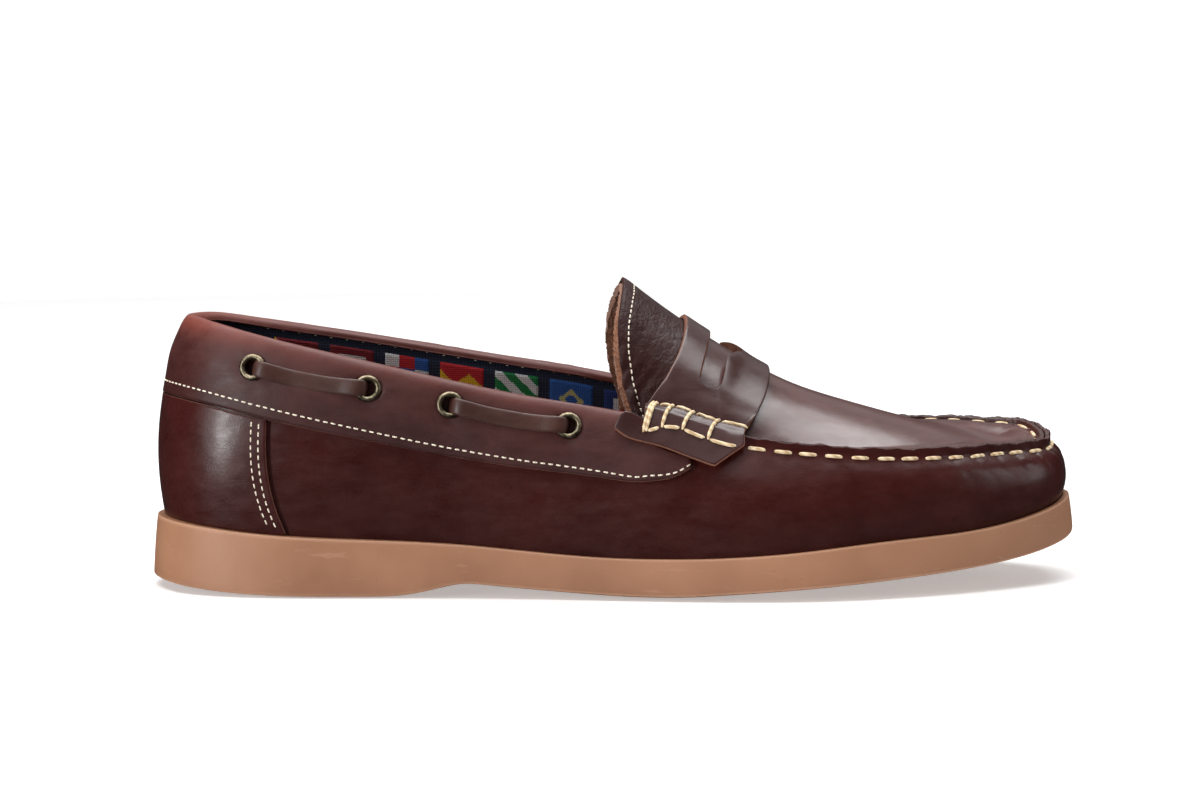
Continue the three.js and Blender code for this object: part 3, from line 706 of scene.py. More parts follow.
# %% Rubber finish
def rubber(name, tread=False):
    finish = Finish(name, Specular_IOR_Level=0.45)
    spot = finish.place()
    cloud = finish.noise(35 * MM, spot, 3)
    fine = finish.noise(1.2 * MM, spot, 4, 0.6)
    specks = finish.cells(4.2 * MM, finish.place((1, 1, 1), (0.3, 0.2, 0.1)))
    dots = finish.spread(specks, 0.055, 0.1, 1, 0)
    scuff = finish.spread(finish.noise(9 * MM, finish.place((0.5, 0.7, 3)), 6, 0.72), 0.6, 0.7)
    colour = finish.mix(finish.spread(cloud, 0.35, 0.65), shade(139, 94, 66), shade(157, 110, 81))
    colour = finish.mix(dots * 0.3, colour, shade(120, 76, 50))
    colour = finish.mix(scuff * 0.3, colour, shade(190, 146, 118))
    # The sole's rounded edges are painted lighter with this colour: a painted highlight. On the
    # leather pieces the same attribute holds real wear.
    colour = finish.mix(finish.attribute("wear") * 0.5, colour, shade(196, 154, 126))
    satin = finish.spread(fine * 0.6 + cloud * 0.4, 0.3, 0.7, 0.42, 0.6)
    finish.set(Base_Color=colour, Roughness=satin)
    height = finish.bump(fine, 0.12 * MM, 0.25)
    height = finish.bump(scuff, 0.2 * MM, 0.35, height)
    if tread:
        waves = finish.node(
            "TexWave",
            {"wave_profile": "SAW"},
            {"Scale": WAVE / (4 * MM), "Vector": spot, "Distortion": 3.0, "Detail": 0.0},
        )
        height = finish.bump(finish.spread(waves, 0.0, 0.15), 1.0 * MM, 1.0, height)
    finish.set(Normal=height)
    return finish


rubber_finish = rubber("caramel_rubber")
tread_finish = rubber("siped_tread", tread=True)

# %% [markdown]
# ## The upper
# One wall of leather wraps the last and rises over the toe into a raised seam. Needle holes
# pull the leather in along that seam, so small puckers stand between the stitches, and the
# leather ahead of the toe folds once, straight down, where it had to be gathered. Subdivision
# gives enough points to push these.

# %% Upper and its rim
upper = copy_of("upper", "vamp_and_quarters")
mesh = upper.data


def on_rim(face):
    return face.normal.z > 0.5 and width_of(face, mesh) < 2.3 * MM and face.center.z > 35 * MM


rim_lines = rims(upper, on_rim, outwardness)
print("upper rims", [len(line) for line in rim_lines])
top_rim = rim_lines[0]
for face in mesh.polygons:
    face.material_index = int(on_rim(face))
crease(upper, 45, 0.8)
subdivide(upper, 3)
top_line = smooth_line(top_rim, 1 * MM)
print("top line", round(lengths(top_line)[-1] / MM), "mm,", len(upper.data.polygons), "faces")

# %% Puckers, toe fold and soft creases
SEAM_PITCH = 8.2 * MM
STITCH_DROP = 2.8 * MM  # from the raised edge down to the stitches


def lowered(line, drop):
    return line - np.array([0, 0, drop])


def from_heel(line):
    """The closed rim as a run that starts at the heel and goes round by the outer side."""
    start = int(np.argmin(line[:-1, 0]))
    turned = np.roll(line[:-1], -start, axis=0)
    if turned[len(turned) // 4, 1] > 0:
        turned = turned[::-1]
    return turned


ring = from_heel(top_line)
print("ring from", (ring[0] / MM).round(1), "via", (ring[len(ring) // 4] / MM).round(1))
SEAM_START = 36.5 * MM  # where the strap's front edge crosses the seam
seam = ring[ring[:, 0] > SEAM_START]
print("seam", round(lengths(seam)[-1] / MM), "mm", (seam[[0, -1]] / MM).round(1).tolist())
toe_tip = seam[np.argmax(seam[:, 0])]


def seam_distances(points, line):
    """For each point: run along the line, level distance from it and depth below it."""
    run = lengths(line)
    near = np.empty(len(points), dtype=int)
    for first in range(0, len(points), 4000):
        block = points[first : first + 4000, None, :] - line[None, :, :]
        near[first : first + 4000] = np.argmin((block**2).sum(axis=2), axis=1)
    offset = points - line[near]
    return run[near], np.linalg.norm(offset[:, :2], axis=1), -offset[:, 2]


def seam_frame(points, line):
    """Offsets of points from the nearest place on a line, outwards and up, and which way is out."""
    near = np.argmin(((points[:, None, :2] - line[None, :, :2]) ** 2).sum(axis=2), axis=1)
    offset = points - line[near]
    out = outward(line[near])
    return (offset * out).sum(axis=1), offset[:, 2], out


def bell(value, width):
    return np.exp(-((value / width) ** 2))


def lumps(run, level, drop):
    """The raw crest of the seam stands higher between the needle holes, and is a little ragged."""
    crest = bell(np.hypot(level, drop), 2.4 * MM)
    ragged = np.sin(run / (0.37 * MM)) * np.sin(run / (1.3 * MM) + 1) + np.sin(run / (3.1 * MM))
    return crest * (0.2 * np.cos(2 * np.pi * run / SEAM_PITCH) + 0.16 * ragged) * MM


points = read(upper)
normals = facing(upper)
run, level, drop = seam_distances(points, seam)
reach = np.hypot(level, drop)
outer_side = (normals[:, :2] * outward(points)[:, :2]).sum(1) > 0
on_seam = (points[:, 0] > SEAM_START - 3 * MM) & outer_side
near_toe = np.clip((points[:, 0] - 40 * MM) / (80 * MM), 0.35, 1)
wave = np.cos(2 * np.pi * (run / SEAM_PITCH - 0.9 * np.clip(reach / (12 * MM), 0, 1)))
wave = 1.6 * (0.5 + 0.5 * wave) ** 6 - 0.3
pull = bell(reach - STITCH_DROP, 2.6 * MM) + 0.4 * bell(reach - 7 * MM, 4 * MM) * near_toe
move = np.where(on_seam, -(0.19 * MM) * pull * near_toe * wave, 0)
fold_y = points[:, 1] - toe_tip[1] + 3 * MM
fold = bell(fold_y, 1.5 * MM) - 0.6 * bell(fold_y - 3 * MM, 2.2 * MM)
fold_reach = np.clip(1 - reach / (17 * MM), 0, 1) * (points[:, 0] > 110 * MM)
move += np.where(on_seam, -0.9 * MM * fold * fold_reach, 0)
waist = bell(points[:, 0] - 24 * MM - 0.5 * (points[:, 2] - 30 * MM), 7 * MM)
move += -0.5 * MM * waist * bell(points[:, 2] - 32 * MM, 14 * MM)
points = points + normals * move[:, None]
points[:, 2] += np.where(points[:, 0] > SEAM_START, lumps(run, level, drop), 0)
write(upper, points)
give(upper, "upper_leather", upper_finish, dark_raw, nodes=["upper"])

# %% [markdown]
# ## The apron
# The plug of the moccasin is a flat piece whose border turns up against the upper's. Near the
# toe it is gathered by the same stitches, so fine puckers run from the seam towards its middle.

# %% Apron
PLUG_RISE = 2.2 * MM  # how far the gathered leather stands up beside the seam
apron = copy_of("apron", "moccasin_plug")
mesh = apron.data
for face in mesh.polygons:
    upright = face.normal.z > 0.6 and width_of(face, mesh) < 1.9 * MM
    face.material_index = int(upright and outwardness(face.center) > 20 * MM)
crease(apron, 50, 0.6)
subdivide(apron, 3)
points = read(apron)
normals = facing(apron)
run, level, drop = seam_distances(points, seam)
filled = np.clip((points[:, 0] - 50 * MM) / (45 * MM), 0, 1)
beside = bell(level - 8 * MM, 6 * MM) * np.clip((drop - 0.3 * MM) / (2.5 * MM), 0, 1)
points[:, 2] += PLUG_RISE * filled * beside
wave = np.cos(2 * np.pi * run / SEAM_PITCH + np.pi)
toe_share = np.clip((points[:, 0] - 70 * MM) / (50 * MM), 0.25, 1)
band = bell(level - 5 * MM, 4.5 * MM) * np.clip(normals[:, 2], 0, 1)
rays = np.sin(2 * np.pi * run / (2.9 * MM)) * bell(level - 6 * MM, 4 * MM)
move = 0.13 * MM * wave * band * toe_share
move += 0.06 * MM * rays * np.clip((points[:, 0] - 95 * MM) / (25 * MM), 0, 1)
points = points + normals * move[:, None]
points[:, 2] += np.where(points[:, 0] > SEAM_START, lumps(run, level - 3 * MM, drop), 0)
write(apron, points)
wear = np.clip((points[:, 0] - 40 * MM) / (15 * MM), 0, 1) * bell(points[:, 1], 26 * MM) * 0.2
store(apron, "wear", wear)
give(apron, "upper_leather", apron_finish, dark_raw, nodes=["apron"])

# %% [markdown]
# ## The heel counter
# A second leather is wrapped round the heel under the collar. It lies flat on the quarters, so
# its copy only needs rounded edges; two rows of fine stitches hold its front edge.

# %% Heel counter
def soft_copy(node, name, levels, angle=45, amount=0.75, rim=None):
    """A copy with creased edges; rim picks the faces that show a cut edge."""
    obj = copy_of(node, name)
    if rim:
        for face in obj.data.polygons:
            face.material_index = int(rim(face, obj.data))
    crease(obj, angle, amount)
    subdivide(obj, levels)
    return obj


def is_thin(face, mesh):
    return width_of(face, mesh) < 2.2 * MM


counter_raw = copy_of("heel_counter", "counter_pattern")
counter_edges = rims(
    counter_raw,
    lambda face: face.normal.x > 0.6 and is_thin(face, counter_raw.data),
    outwardness,
)[:2]
bpy.data.objects.remove(counter_raw)
counter = soft_copy("heel_counter", "heel_counter_leather", 3, rim=is_thin)
give(counter, "upper_leather", upper_finish, brown_raw, nodes=["heel_counter"])

# %% [markdown]
# ## The collar
# A band of the same leather is folded over the top of the quarters and hemmed below the lace.
# It is soft and a little full, pulled in where the eyelets clamp it and along its hem.

# %% Collar
LEAF_EDGE = -0.3 * MM  # negative: the inner leaf ends this far below the upper's edge
collar_raw = copy_of("collar", "collar_pattern")
hem_lines = rims(
    collar_raw,
    lambda face: face.normal.z < -0.45
    and is_thin(face, collar_raw.data)
    and outwardness(face.center) > 24 * MM,
    outwardness,
)
hem_lines = [line for line in hem_lines if len(line) > 12]
for line in hem_lines:
    print("hem", len(line), (line.min(0) / MM).round(1), (line.max(0) / MM).round(1))
bpy.data.objects.remove(collar_raw)
collar = soft_copy("collar", "collar_band", 2, rim=lambda f, m: is_thin(f, m) and f.normal.z < -0.4)
eyelet_names = [f"eyelet_{side}_{i}" for side in ("outer", "inner") for i in (1, 2, 3, 4)]
eyelet_centres = [(Vector(low) + Vector(high)) / 2 for low, high in map(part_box, eyelet_names)]
points = read(collar)
normals = facing(collar)
on_outside = (normals * outward(points)).sum(1) > 0.2
_, _, below = seam_distances(points, ring)
fullness = bell(below - 9 * MM, 6.5 * MM) * np.clip((20 * MM - points[:, 0]) / (20 * MM), 0, 1)
move = np.where(on_outside, 0.75 * MM * fullness, 0)
for centre in eyelet_centres:
    away = np.linalg.norm(points - np.array(centre), axis=1)
    move -= np.where(on_outside, 0.75 * MM * fullness * bell(away, 5.5 * MM), 0)
    turn = np.arctan2(points[:, 2] - centre.z, points[:, 0] - centre.x)
    ripple = bell(away - 7.5 * MM, 3 * MM) * np.cos(6 * turn)
    move += np.where(on_outside, 0.1 * MM * ripple, 0)
x, _, z = points.T
soft = np.sin(x / (7.3 * MM)) * np.sin(z / (5.1 * MM) + x / (19 * MM))
move += np.where(on_outside, 0.12 * MM * soft, 0)
points = points + normals * move[:, None]
from_rim, _, _ = seam_frame(points, ring)
deep = np.where(from_rim < -0.6 * MM, np.maximum(below + LEAF_EDGE, 0), 0)
points[:, 2] += 0.9 * deep
write(collar, points)
rub = bell(below + 2.5 * MM, 4.5 * MM) * (0.45 + 0.8 * bell(points[:, 0] + 140 * MM, 28 * MM))
store(collar, "wear", rub + 0.1 * bell(below - 9 * MM, 6 * MM))
give(collar, "upper_leather", collar_finish, brown_raw, nodes=["collar"])

# %% [markdown]
# ## The strap
# The strap crosses the instep and wraps the raised seam on both sides. There it is bound down
# with thick thread, so that it stands up as a round roll between two flat lands. A slot with a
# pointed middle is cut through it; its edges show the paler inside of the leather.

# %% Strap
def on_strap_edge(face, mesh):
    """The cut edges run across the strap's thickness, so they face forward, back or down."""
    low = face.center.z < 50 * MM and face.normal.z < -0.3
    return width_of(face, mesh) < 1.8 * MM and (abs(face.normal.x) > 0.5 or low)


strap = soft_copy("strap", "instep_strap", 3, rim=on_strap_edge)
points = read(strap)
normals = facing(strap)
ROLL_RADIUS = 3.4 * MM
ROLL_CENTRE = (-1.8 * MM, -0.5 * MM)  # outwards and up from the seam's edge
out_by, up_by, out_way = seam_frame(points, ring)
from_axis = np.stack([out_by - ROLL_CENTRE[0], up_by - ROLL_CENTRE[1]], axis=1)
radius = np.linalg.norm(from_axis, axis=1)
radial = from_axis / np.maximum(radius, 1e-6)[:, None]
radial_way = out_way * radial[:, :1] + np.array([0, 0, 1]) * radial[:, 1:]
top_side = (normals * radial_way).sum(axis=1) > 0.1
grown = np.maximum(ROLL_RADIUS - radius, 0)
points = points + radial_way * np.where(top_side & (from_axis[:, 1] > -2.2 * MM), grown, 0)[:, None]
is_top = normals[:, 2] > 0.3
valley = bell(out_by + 7.3 * MM, 1.9 * MM) * is_top
points[:, 2] -= 0.5 * MM * valley
lift = bell(points[:, 0] - 0.4 * MM, 5 * MM) * bell(points[:, 2] - 54.5 * MM, 3.5 * MM)
on_tab = (np.abs(points[:, 1]) > 33 * MM) & (out_by > -1.5 * MM)
points[:, 2] += 3.8 * MM * lift * on_tab
points += outward(points) * (0.5 * MM * lift * on_tab)[:, None]
SLOT = [  # half of its outline, from the middle of the rear side round to the point in front
    (30.0, 0), (28.8, 10), (27.3, 17.2), (25.2, 24.4), (24.6, 26.6), (25.3, 27.8),
    (26.8, 28.3), (28.6, 28.3), (30.4, 27.7), (31.8, 26.2), (32.6, 23.8), (33.6, 19.8),
    (34.5, 15.5), (36.3, 12), (39.0, 6), (40.4, 0),
]
slot_front = sorted((y, x) for x, y in SLOT[-7:])
ahead = points[:, 0] / MM - np.interp(np.abs(points[:, 1]) / MM, *zip(*slot_front))
curl = bell(ahead, 3) * bell(np.abs(points[:, 1]) / MM - 15, 12)
curl = curl * (ahead > -1.5) * (points[:, 2] > 55 * MM)
points += normals * (0.9 * MM * curl)[:, None]
write(strap, points)

outline = [(x, -y) for x, y in SLOT] + [(x, y + 1.6) for x, y in reversed(SLOT[1:-1])]
corners = [Vector((x, y, 52)) * MM for x, y in outline]
cutter = built("slot_cutter", corners, [tuple(range(len(corners)))])
select_only(cutter)
bpy.ops.object.mode_set(mode="EDIT")
bpy.ops.mesh.select_all(action="SELECT")
bpy.ops.mesh.extrude_region_move(TRANSFORM_OT_translate={"value": (0, 0, 40 * MM)})
bpy.ops.object.mode_set(mode="OBJECT")
turn_faces_outwards(cutter)
modify(strap, "BOOLEAN", operation="DIFFERENCE", solver="EXACT", object=cutter)
bpy.data.objects.remove(cutter)
slot_x = (23.5 * MM, 41 * MM)
for face in strap.data.polygons:
    inside = slot_x[0] < face.center.x < slot_x[1] and abs(face.center.y) < 31 * MM
    if inside and abs(face.normal.z) < 0.3 and face.center.z > 60 * MM:
        face.material_index = 1
give(strap, "strap_leather", strap_finish, raw_finish, nodes=["strap"])

# %% [markdown]
# ## The tongue
# It is two layers: the leather that shows, and a suede lining cut a little longer, whose rough
# edge stands out behind. Each is a sheet laid on the outer skin of the CAD tongue, whose place
# is found by rays sent towards a line inside the foot, and then gets a thickness of its own.
# The tongue's foot is pinched by the strap, so wrinkles run up from there.

# %% Tongue layers
TONGUE_AXIS = 46 * MM  # height of a line along the foot, about which the tongue is curved
REAR_EDGE = ((0, 10, 20, 28, 38, 55, 72, 90), (2.6, 2.1, 0.8, -0.3, -0.6, 0.9, 3.8, 4.6))
FRONT_EDGE = ((0, 40, 50, 73, 90), (23, 19, 17, 9.5, 9.5))  # degrees from the top, millimetres
pattern = soft_copy("tongue", "tongue_pattern", 2)
pattern_tree = surface(pattern)
bpy.data.objects.remove(pattern)


def reach_at(x, angle):
    """How far the outer skin stands from the axis, or nan where there is none."""
    way = Vector((0, math.sin(angle), math.cos(angle)))
    start = Vector((x, 0, TONGUE_AXIS)) + way * 80 * MM
    distance = pattern_tree.ray_cast(start, -way)[3]
    return math.nan if distance is None or distance > 60 * MM else 80 * MM - distance


def tongue_layer(name, longer, start, thickness):
    """A sheet on the outer skin of the tongue, start below it, with a thickness of its own."""
    angles = np.linspace(-88, 80, 61)
    rear = np.interp(np.abs(angles), *REAR_EDGE) * MM - longer
    front = np.interp(np.abs(angles), *FRONT_EDGE) * MM
    across = rear[:, None] + (front - rear)[:, None] * np.linspace(0, 1, 21)
    turns = np.radians(angles)
    reach = np.array([[reach_at(x, turn) for x in line] for line, turn in zip(across, turns)])
    for line in reach:
        known = np.flatnonzero(~np.isnan(line))
        line[:] = np.interp(np.arange(len(line)), known, line[known])
    for _ in range(2):
        ends = np.pad(reach, 1, mode="edge")
        around = ends[:-2, 1:-1] + ends[2:, 1:-1] + ends[1:-1, :-2] + ends[1:-1, 2:]
        reach = (around + 2 * reach) / 6
    reach = reach - start
    corners = np.stack([
        across,
        reach * np.sin(turns)[:, None],
        TONGUE_AXIS + reach * np.cos(turns)[:, None],
    ], axis=2)
    count = across.shape[1]
    faces = [
        (i * count + j, i * count + j + 1, (i + 1) * count + j + 1, (i + 1) * count + j)
        for i in range(len(angles) - 1) for j in range(count - 1)
    ]
    obj = built(name, corners.reshape(-1, 3), faces)
    subdivide(obj, 2)
    modify(obj, "SOLIDIFY", thickness=thickness, offset=-1)
    return obj


tongue = tongue_layer("tongue_leather_layer", 0, 0, 1.3 * MM)
points = read(tongue)
normals = facing(tongue)
x, y, z = points.T
foot = np.clip((84 * MM - z) / (22 * MM), 0, 1) * np.clip((14 * MM - x) / (10 * MM), 0, 1)
folds = np.sin((x * 0.9 - z * 0.5) / (0.75 * MM) + 1.3 * np.sin(z / (3.1 * MM)))
folds += 0.6 * np.sin((x * 0.4 + z * 0.9) / (1.3 * MM) + np.sin(x / (2.3 * MM)))
write(tongue, points + normals * (0.2 * MM * folds * foot)[:, None])
for face in tongue.data.polygons:
    narrow = width_of(face, tongue.data) < 1.6 * MM and face.area < 3 * MM**2
    face.material_index = int(narrow and face.normal.x < -0.6 and face.center.z > 50 * MM)
give(tongue, "upper_leather", tongue_finish, dark_raw, nodes=["tongue"])

suede_layer = tongue_layer("tongue_suede_lining", 1.5 * MM, 1.35 * MM, 1.7 * MM)
points = read(suede_layer)
x, y, z = points.T
jag = np.sin(z / (0.9 * MM)) * np.sin(y / (0.6 * MM))
jag += 0.6 * np.sin(z / (0.37 * MM) + y / (0.5 * MM))
rear = np.clip((7 * MM - x) / (6 * MM), 0, 1)
frayed = 0.26 * MM * jag + random.normal(0, 0.09 * MM, len(points))
uneven = 0.12 * MM * jag + random.normal(0, 0.06 * MM, len(points))
points[:, 0] += frayed * rear
points += facing(suede_layer) * (uneven * rear)[:, None]
write(suede_layer, points)
give(suede_layer, "suede", suede_finish)

# %% [markdown]
# ## Inside the shoe
# A padded navy lining fills the quarters below the rolled edge of the collar, with a row of
# small woven patches along its top. The lining is the inner skin of the upper, pushed inwards
# where its foam is. A leather sock covers the footbed.

# %% Padded lining
lining = copy_of("upper", "padded_lining")


def inside_wall(face):
    n = np.array(face.normal)
    return (n * outward(np.array(face.center)[None])[0]).sum() < -0.3 and face.center.x < 70 * MM


keep_faces(lining, inside_wall)
subdivide(lining, 2)
points = read(lining)
_, _, below = seam_distances(points, ring)
points[:, 2] += 0.6 * MM * np.clip(1 - below / (2 * MM), 0, 1) * (points[:, 0] < 0)
swell = np.clip((below - 0.6 * MM) / (2.6 * MM), 0, 1)
swell = swell * swell * (3 - 2 * swell)
full = (1.5 + 0.25 * np.sin(points[:, 0] / (8.7 * MM))) * MM
plump = 0.15 * MM + full * swell * np.clip((points[:, 2] - 8 * MM) / (20 * MM), 0.2, 1)
points -= outward(points) * plump[:, None]
write(lining, points)
modify(lining, "SOLIDIFY", thickness=0.5 * MM, offset=-1)
give(lining, "lining", navy_finish)
lining_tree = surface(lining)

insole = soft_copy("insole", "leather_sock", 2)
give(insole, "sock_leather", sock_finish, nodes=["insole"])

# %% Woven patches
PATCH = (14 * MM, 12 * MM)
RED, DEEP_RED, WHITE = shade(186, 30, 38), shade(120, 22, 34), shade(214, 212, 214)
BLUE, DEEP_BLUE, GREEN = shade(38, 84, 156), shade(30, 48, 110), shade(20, 120, 62)
YELLOW, PALE_YELLOW = shade(222, 170, 28), shade(186, 178, 120)


def off_centre(u, v):
    return max(abs(u - 0.5), abs(v - 0.5))


def slanted_halves(u, v):
    return YELLOW if u + v < 1 else DEEP_RED


def framed(u, v):
    return WHITE if 0.2 < off_centre(u, v) < 0.31 else DEEP_RED


def chequered(u, v):
    return (BLUE, WHITE, RED)[(int(u * 3) + 2 * int(v * 3)) % 3]


def zigzag(u, v):
    return YELLOW if abs(v - 0.34 - 0.32 * abs((u * 3) % 2 - 1)) < 0.13 else RED


def slanted_stripes(u, v):
    return (GREEN, WHITE)[int((u + v) * 3.5) % 2]


def diamond(u, v):
    return PALE_YELLOW if 0.16 < abs(u - 0.5) + abs(v - 0.5) < 0.3 else BLUE


def nested(u, v):
    return (RED, WHITE, DEEP_BLUE)[min(int(off_centre(u, v) * 7), 2)]


DESIGNS = [slanted_halves, framed, chequered, zigzag, slanted_stripes, diamond, nested]
COLUMNS, ROWS = 28, 24
FIRST_PATCH, PATCH_STEP = -108.3 * MM, 17.7 * MM
BELOW_RIM = 3.1 * MM
patch_points, patch_faces, patch_colours = [], [], []
for side in (1, -1):
    for index, design in enumerate(DESIGNS):
        start = FIRST_PATCH + PATCH_STEP * index
        first = len(patch_points)
        near = [p for p in ring if p[1] * side > 0 and p[0] < 40 * MM]
        order = sorted(near, key=lambda p: p[0])
        line_x = np.array([p[0] for p in order])
        line_z = np.array([p[2] for p in order])
        for j in range(ROWS + 1):
            for i in range(COLUMNS + 1):
                x = start + PATCH[0] * i / COLUMNS
                z = np.interp(x, line_x, line_z) - BELOW_RIM - PATCH[1] * j / ROWS
                hit = lining_tree.ray_cast(Vector((x, 0, z)), Vector((0, side, 0)))[0]
                edge = min(i, COLUMNS - i, 2 * j, 2 * (ROWS - j))
                raised = (0.1 if edge == 0 else 0.45) * MM
                patch_points.append(hit + Vector((0, -side, 0)) * raised)
        for j in range(ROWS):
            for i in range(COLUMNS):
                a = first + j * (COLUMNS + 1) + i
                quad = (a, a + 1, a + COLUMNS + 2, a + COLUMNS + 1)
                patch_faces.append(quad if side < 0 else quad[::-1])
                colour = design((i + 0.5) / COLUMNS, 1 - (j + 0.5) / ROWS)
                patch_colours.append((*colour, 1))
patches = built("woven_patches", patch_points, patch_faces)
paint = patches.data.attributes.new("thread_colour", "FLOAT_COLOR", "FACE")
paint.data.foreach_set("color", np.array(patch_colours).ravel())
modify(patches, "SOLIDIFY", thickness=0.3 * MM, offset=-1)
give(patches, "woven_patches", patch_finish)

# %% [markdown]
# ## Eyelets and lace
# Each eyelet is a brass tube whose rim is rolled over, so its outline is spun once round an
# axis and then copied to the eight holes. The rawhide lace is a flat strip that comes out of one
# eyelet, lies along the collar and goes in at the next; inside, it runs on between the layers.

# %% Eyelets
def eyelet_shape():
    outline = [  # distance from the axis, height
        (2.35, -2.6), (2.35, -0.2), (2.5, 0.4), (2.85, 0.8),
        (3.35, 0.95), (3.9, 0.75), (4.22, 0.25), (4.25, -0.25),
    ]
    points = [(r * MM, 0, z * MM) for r, z in outline]
    edges = [(i, i + 1) for i in range(len(outline) - 1)]
    obj = built("eyelet_pattern", points, [], edges)
    select_only(obj)
    bpy.ops.object.mode_set(mode="EDIT")
    bpy.ops.mesh.select_all(action="SELECT")
    bpy.ops.mesh.spin(steps=40, angle=2 * math.pi, center=(0, 0, 0), axis=(0, 0, 1))
    bpy.ops.mesh.select_all(action="SELECT")
    bpy.ops.mesh.remove_doubles(threshold=0.01 * MM)
    bpy.ops.object.mode_set(mode="OBJECT")
    turn_faces_outwards(obj)
    modify(obj, "SOLIDIFY", thickness=0.25 * MM, offset=-1)
    subdivide(obj, 1)
    return obj


pattern = eyelet_shape()
eyelet_axes = {}
for name in eyelet_names:
    corners = read(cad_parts[name])
    centre = (corners.min(0) + corners.max(0)) / 2
    _, axes = np.linalg.eigh(np.cov((corners - corners.mean(0)).T))
    axis = axes[:, 0]
    if (axis * outward(centre[None])[0]).sum() < 0:
        axis = -axis
    eyelet_axes[name] = (Vector(corners.mean(0)), Vector(axis))
    ring_piece = object_with(name.replace("eyelet", "brass_ring"), pattern.data.copy())
    ring_piece.location = eyelet_axes[name][0] + eyelet_axes[name][1] * 0.55 * MM
    ring_piece.rotation_euler = Vector(axis).to_track_quat("Z", "Y").to_euler()
    settle(ring_piece)
    give(ring_piece, "eyelet_brass", brass_finish, nodes=[name])
bpy.data.objects.remove(pattern)


# %% Lace
def loft_faces(count, sections):
    """Faces between like sections of count corners, with a flat cap at each end."""
    last = (sections - 1) * count
    faces = [tuple(range(count))[::-1], tuple(range(last, last + count))]
    for first in range(0, last, count):
        for i in range(count):
            j = (i + 1) % count
            faces.append((first + i, first + j, first + count + j, first + count + i))
    return faces


def strip_along(name, path, side, width, thickness):
    """A flat strip with rounded edges along a path; side is the direction of its width."""
    turns = np.linspace(0, 2 * np.pi, 12, endpoint=False)
    flat = np.sign(np.cos(turns)) * np.abs(np.cos(turns)) ** 0.45 / 2
    high = np.sign(np.sin(turns)) * np.abs(np.sin(turns)) ** 0.7 * thickness / 2
    tangents = np.gradient(path, axis=0)
    tangents /= np.linalg.norm(tangents, axis=1, keepdims=True)
    points = []
    for spot, tangent, across, wide in zip(path, tangents, side, width):
        across = across - tangent * across.dot(tangent)
        across /= np.linalg.norm(across)
        up = np.cross(tangent, across)
        points.append(spot + np.outer(flat * wide, across) + np.outer(high, up))
    obj = built(name, np.vstack(points), loft_faces(len(turns), len(path)))
    turn_faces_outwards(obj)
    subdivide(obj, 1)
    return obj


HALF_ROUTE = [  # along the bar, up from the collar: out of the ring and over its rim
    (0.2, -3.2), (0.5, -1), (1.2, 1.0), (2.9, 2.05), (5.2, 2.1), (9, 1.5), (14, 1.35),
]
for side in ("outer", "inner"):
    for part, (first, last) in {"rear": (1, 2), "front": (3, 4)}.items():
        a, out_a = (np.array(v) for v in eyelet_axes[f"eyelet_{side}_{first}"])
        b, out_b = (np.array(v) for v in eyelet_axes[f"eyelet_{side}_{last}"])
        along = (b - a) / np.linalg.norm(b - a)
        span = np.linalg.norm(b - a)
        route = [(run * MM, lift * MM) for run, lift in HALF_ROUTE]
        route += [(span - run, lift) for run, lift in reversed(route)]
        knots = []
        for run, lift in route:
            share = run / span
            out = out_a * (1 - share) + out_b * share
            sag = 1.3 * MM * 4 * share * (1 - share)
            knots.append(a + along * run + out * lift - np.array([0, 0, sag]))
        path = smooth_line(np.array(knots), 0.9 * MM)
        share = np.linspace(0, 1, len(path))[:, None]
        out = out_a * (1 - share) + out_b * share
        wide = np.cross(out, along)
        widths = (5.4 - 1.1 * np.abs(np.linspace(-1, 1, len(path))) ** 8) * MM
        lace = strip_along(f"lace_strip_{side}_{part}", path, wide, widths, 1.5 * MM)
        give(lace, "lace_leather", lace_finish, nodes=[f"lace_{side}_{part}"])

# %% [markdown]
# ## The sole
# The cup sole is one moulding of caramel rubber. Its edges are only a little rounded, its top
# edge still has the flash of the mould, and the ground side has fine wavy sipes.

# %% Sole
sole = soft_copy("outsole", "rubber_cup_sole", 3, 30, 0.85)
points = read(sole)
normals = facing(sole)
side_wall = (normals * outward(points)).sum(axis=1) > 0.3
lip = (normals[:, 2] > 0.15) & side_wall
x, y, _ = points.T
saw = np.sin(x / (0.55 * MM)) * np.sin(y / (0.7 * MM) + x / (2.1 * MM))
points[:, 2] += 0.12 * MM * saw * lip
write(sole, points)
# Painted highlight: the rounded top and bottom edges of the sole's wall are marked here to be
# painted lighter.
edges = bell(normals[:, 2] - 0.6, 0.35) + bell(normals[:, 2] + 0.6, 0.35)
store(sole, "wear", edges * side_wall)
for face in sole.data.polygons:
    face.material_index = int(face.normal.z < -0.75)
give(sole, "sole_rubber", rubber_finish, tread_finish, nodes=["outsole"])

# %% [markdown]
# ## Stitches
# Fine cream thread closes the hem, the counter and the tongue; thick waxed thread makes the
# raised seam, one dash on each side of the ridge, and binds the rolls of the strap. A stitch is
# modelled once and copied along lines that are found on the pieces themselves.

# %% Raised seam
upper_tree = surface(upper)
apron_tree = surface(apron)
strap_tree = surface(strap)
seam_out = lowered(seam, STITCH_DROP) + outward(seam) * 0.8 * MM
seam_in = lowered(seam, 1.6 * MM) - outward(seam) * 4.8 * MM
seam_in = seam_in[seam[:, 0] > 42 * MM]
thick_rows = [
    row(line, tree, length * MM, SEAM_PITCH, radius * MM, thick_thread,
        phase=phase * MM, height=0.3, dip=1.1)
    for line, tree, length, radius, phase in (
        (seam_out, upper_tree, 6.0, 0.62, 1.2),
        (seam_in, apron_tree, 5.2, 0.55, 1.4),
    )
]


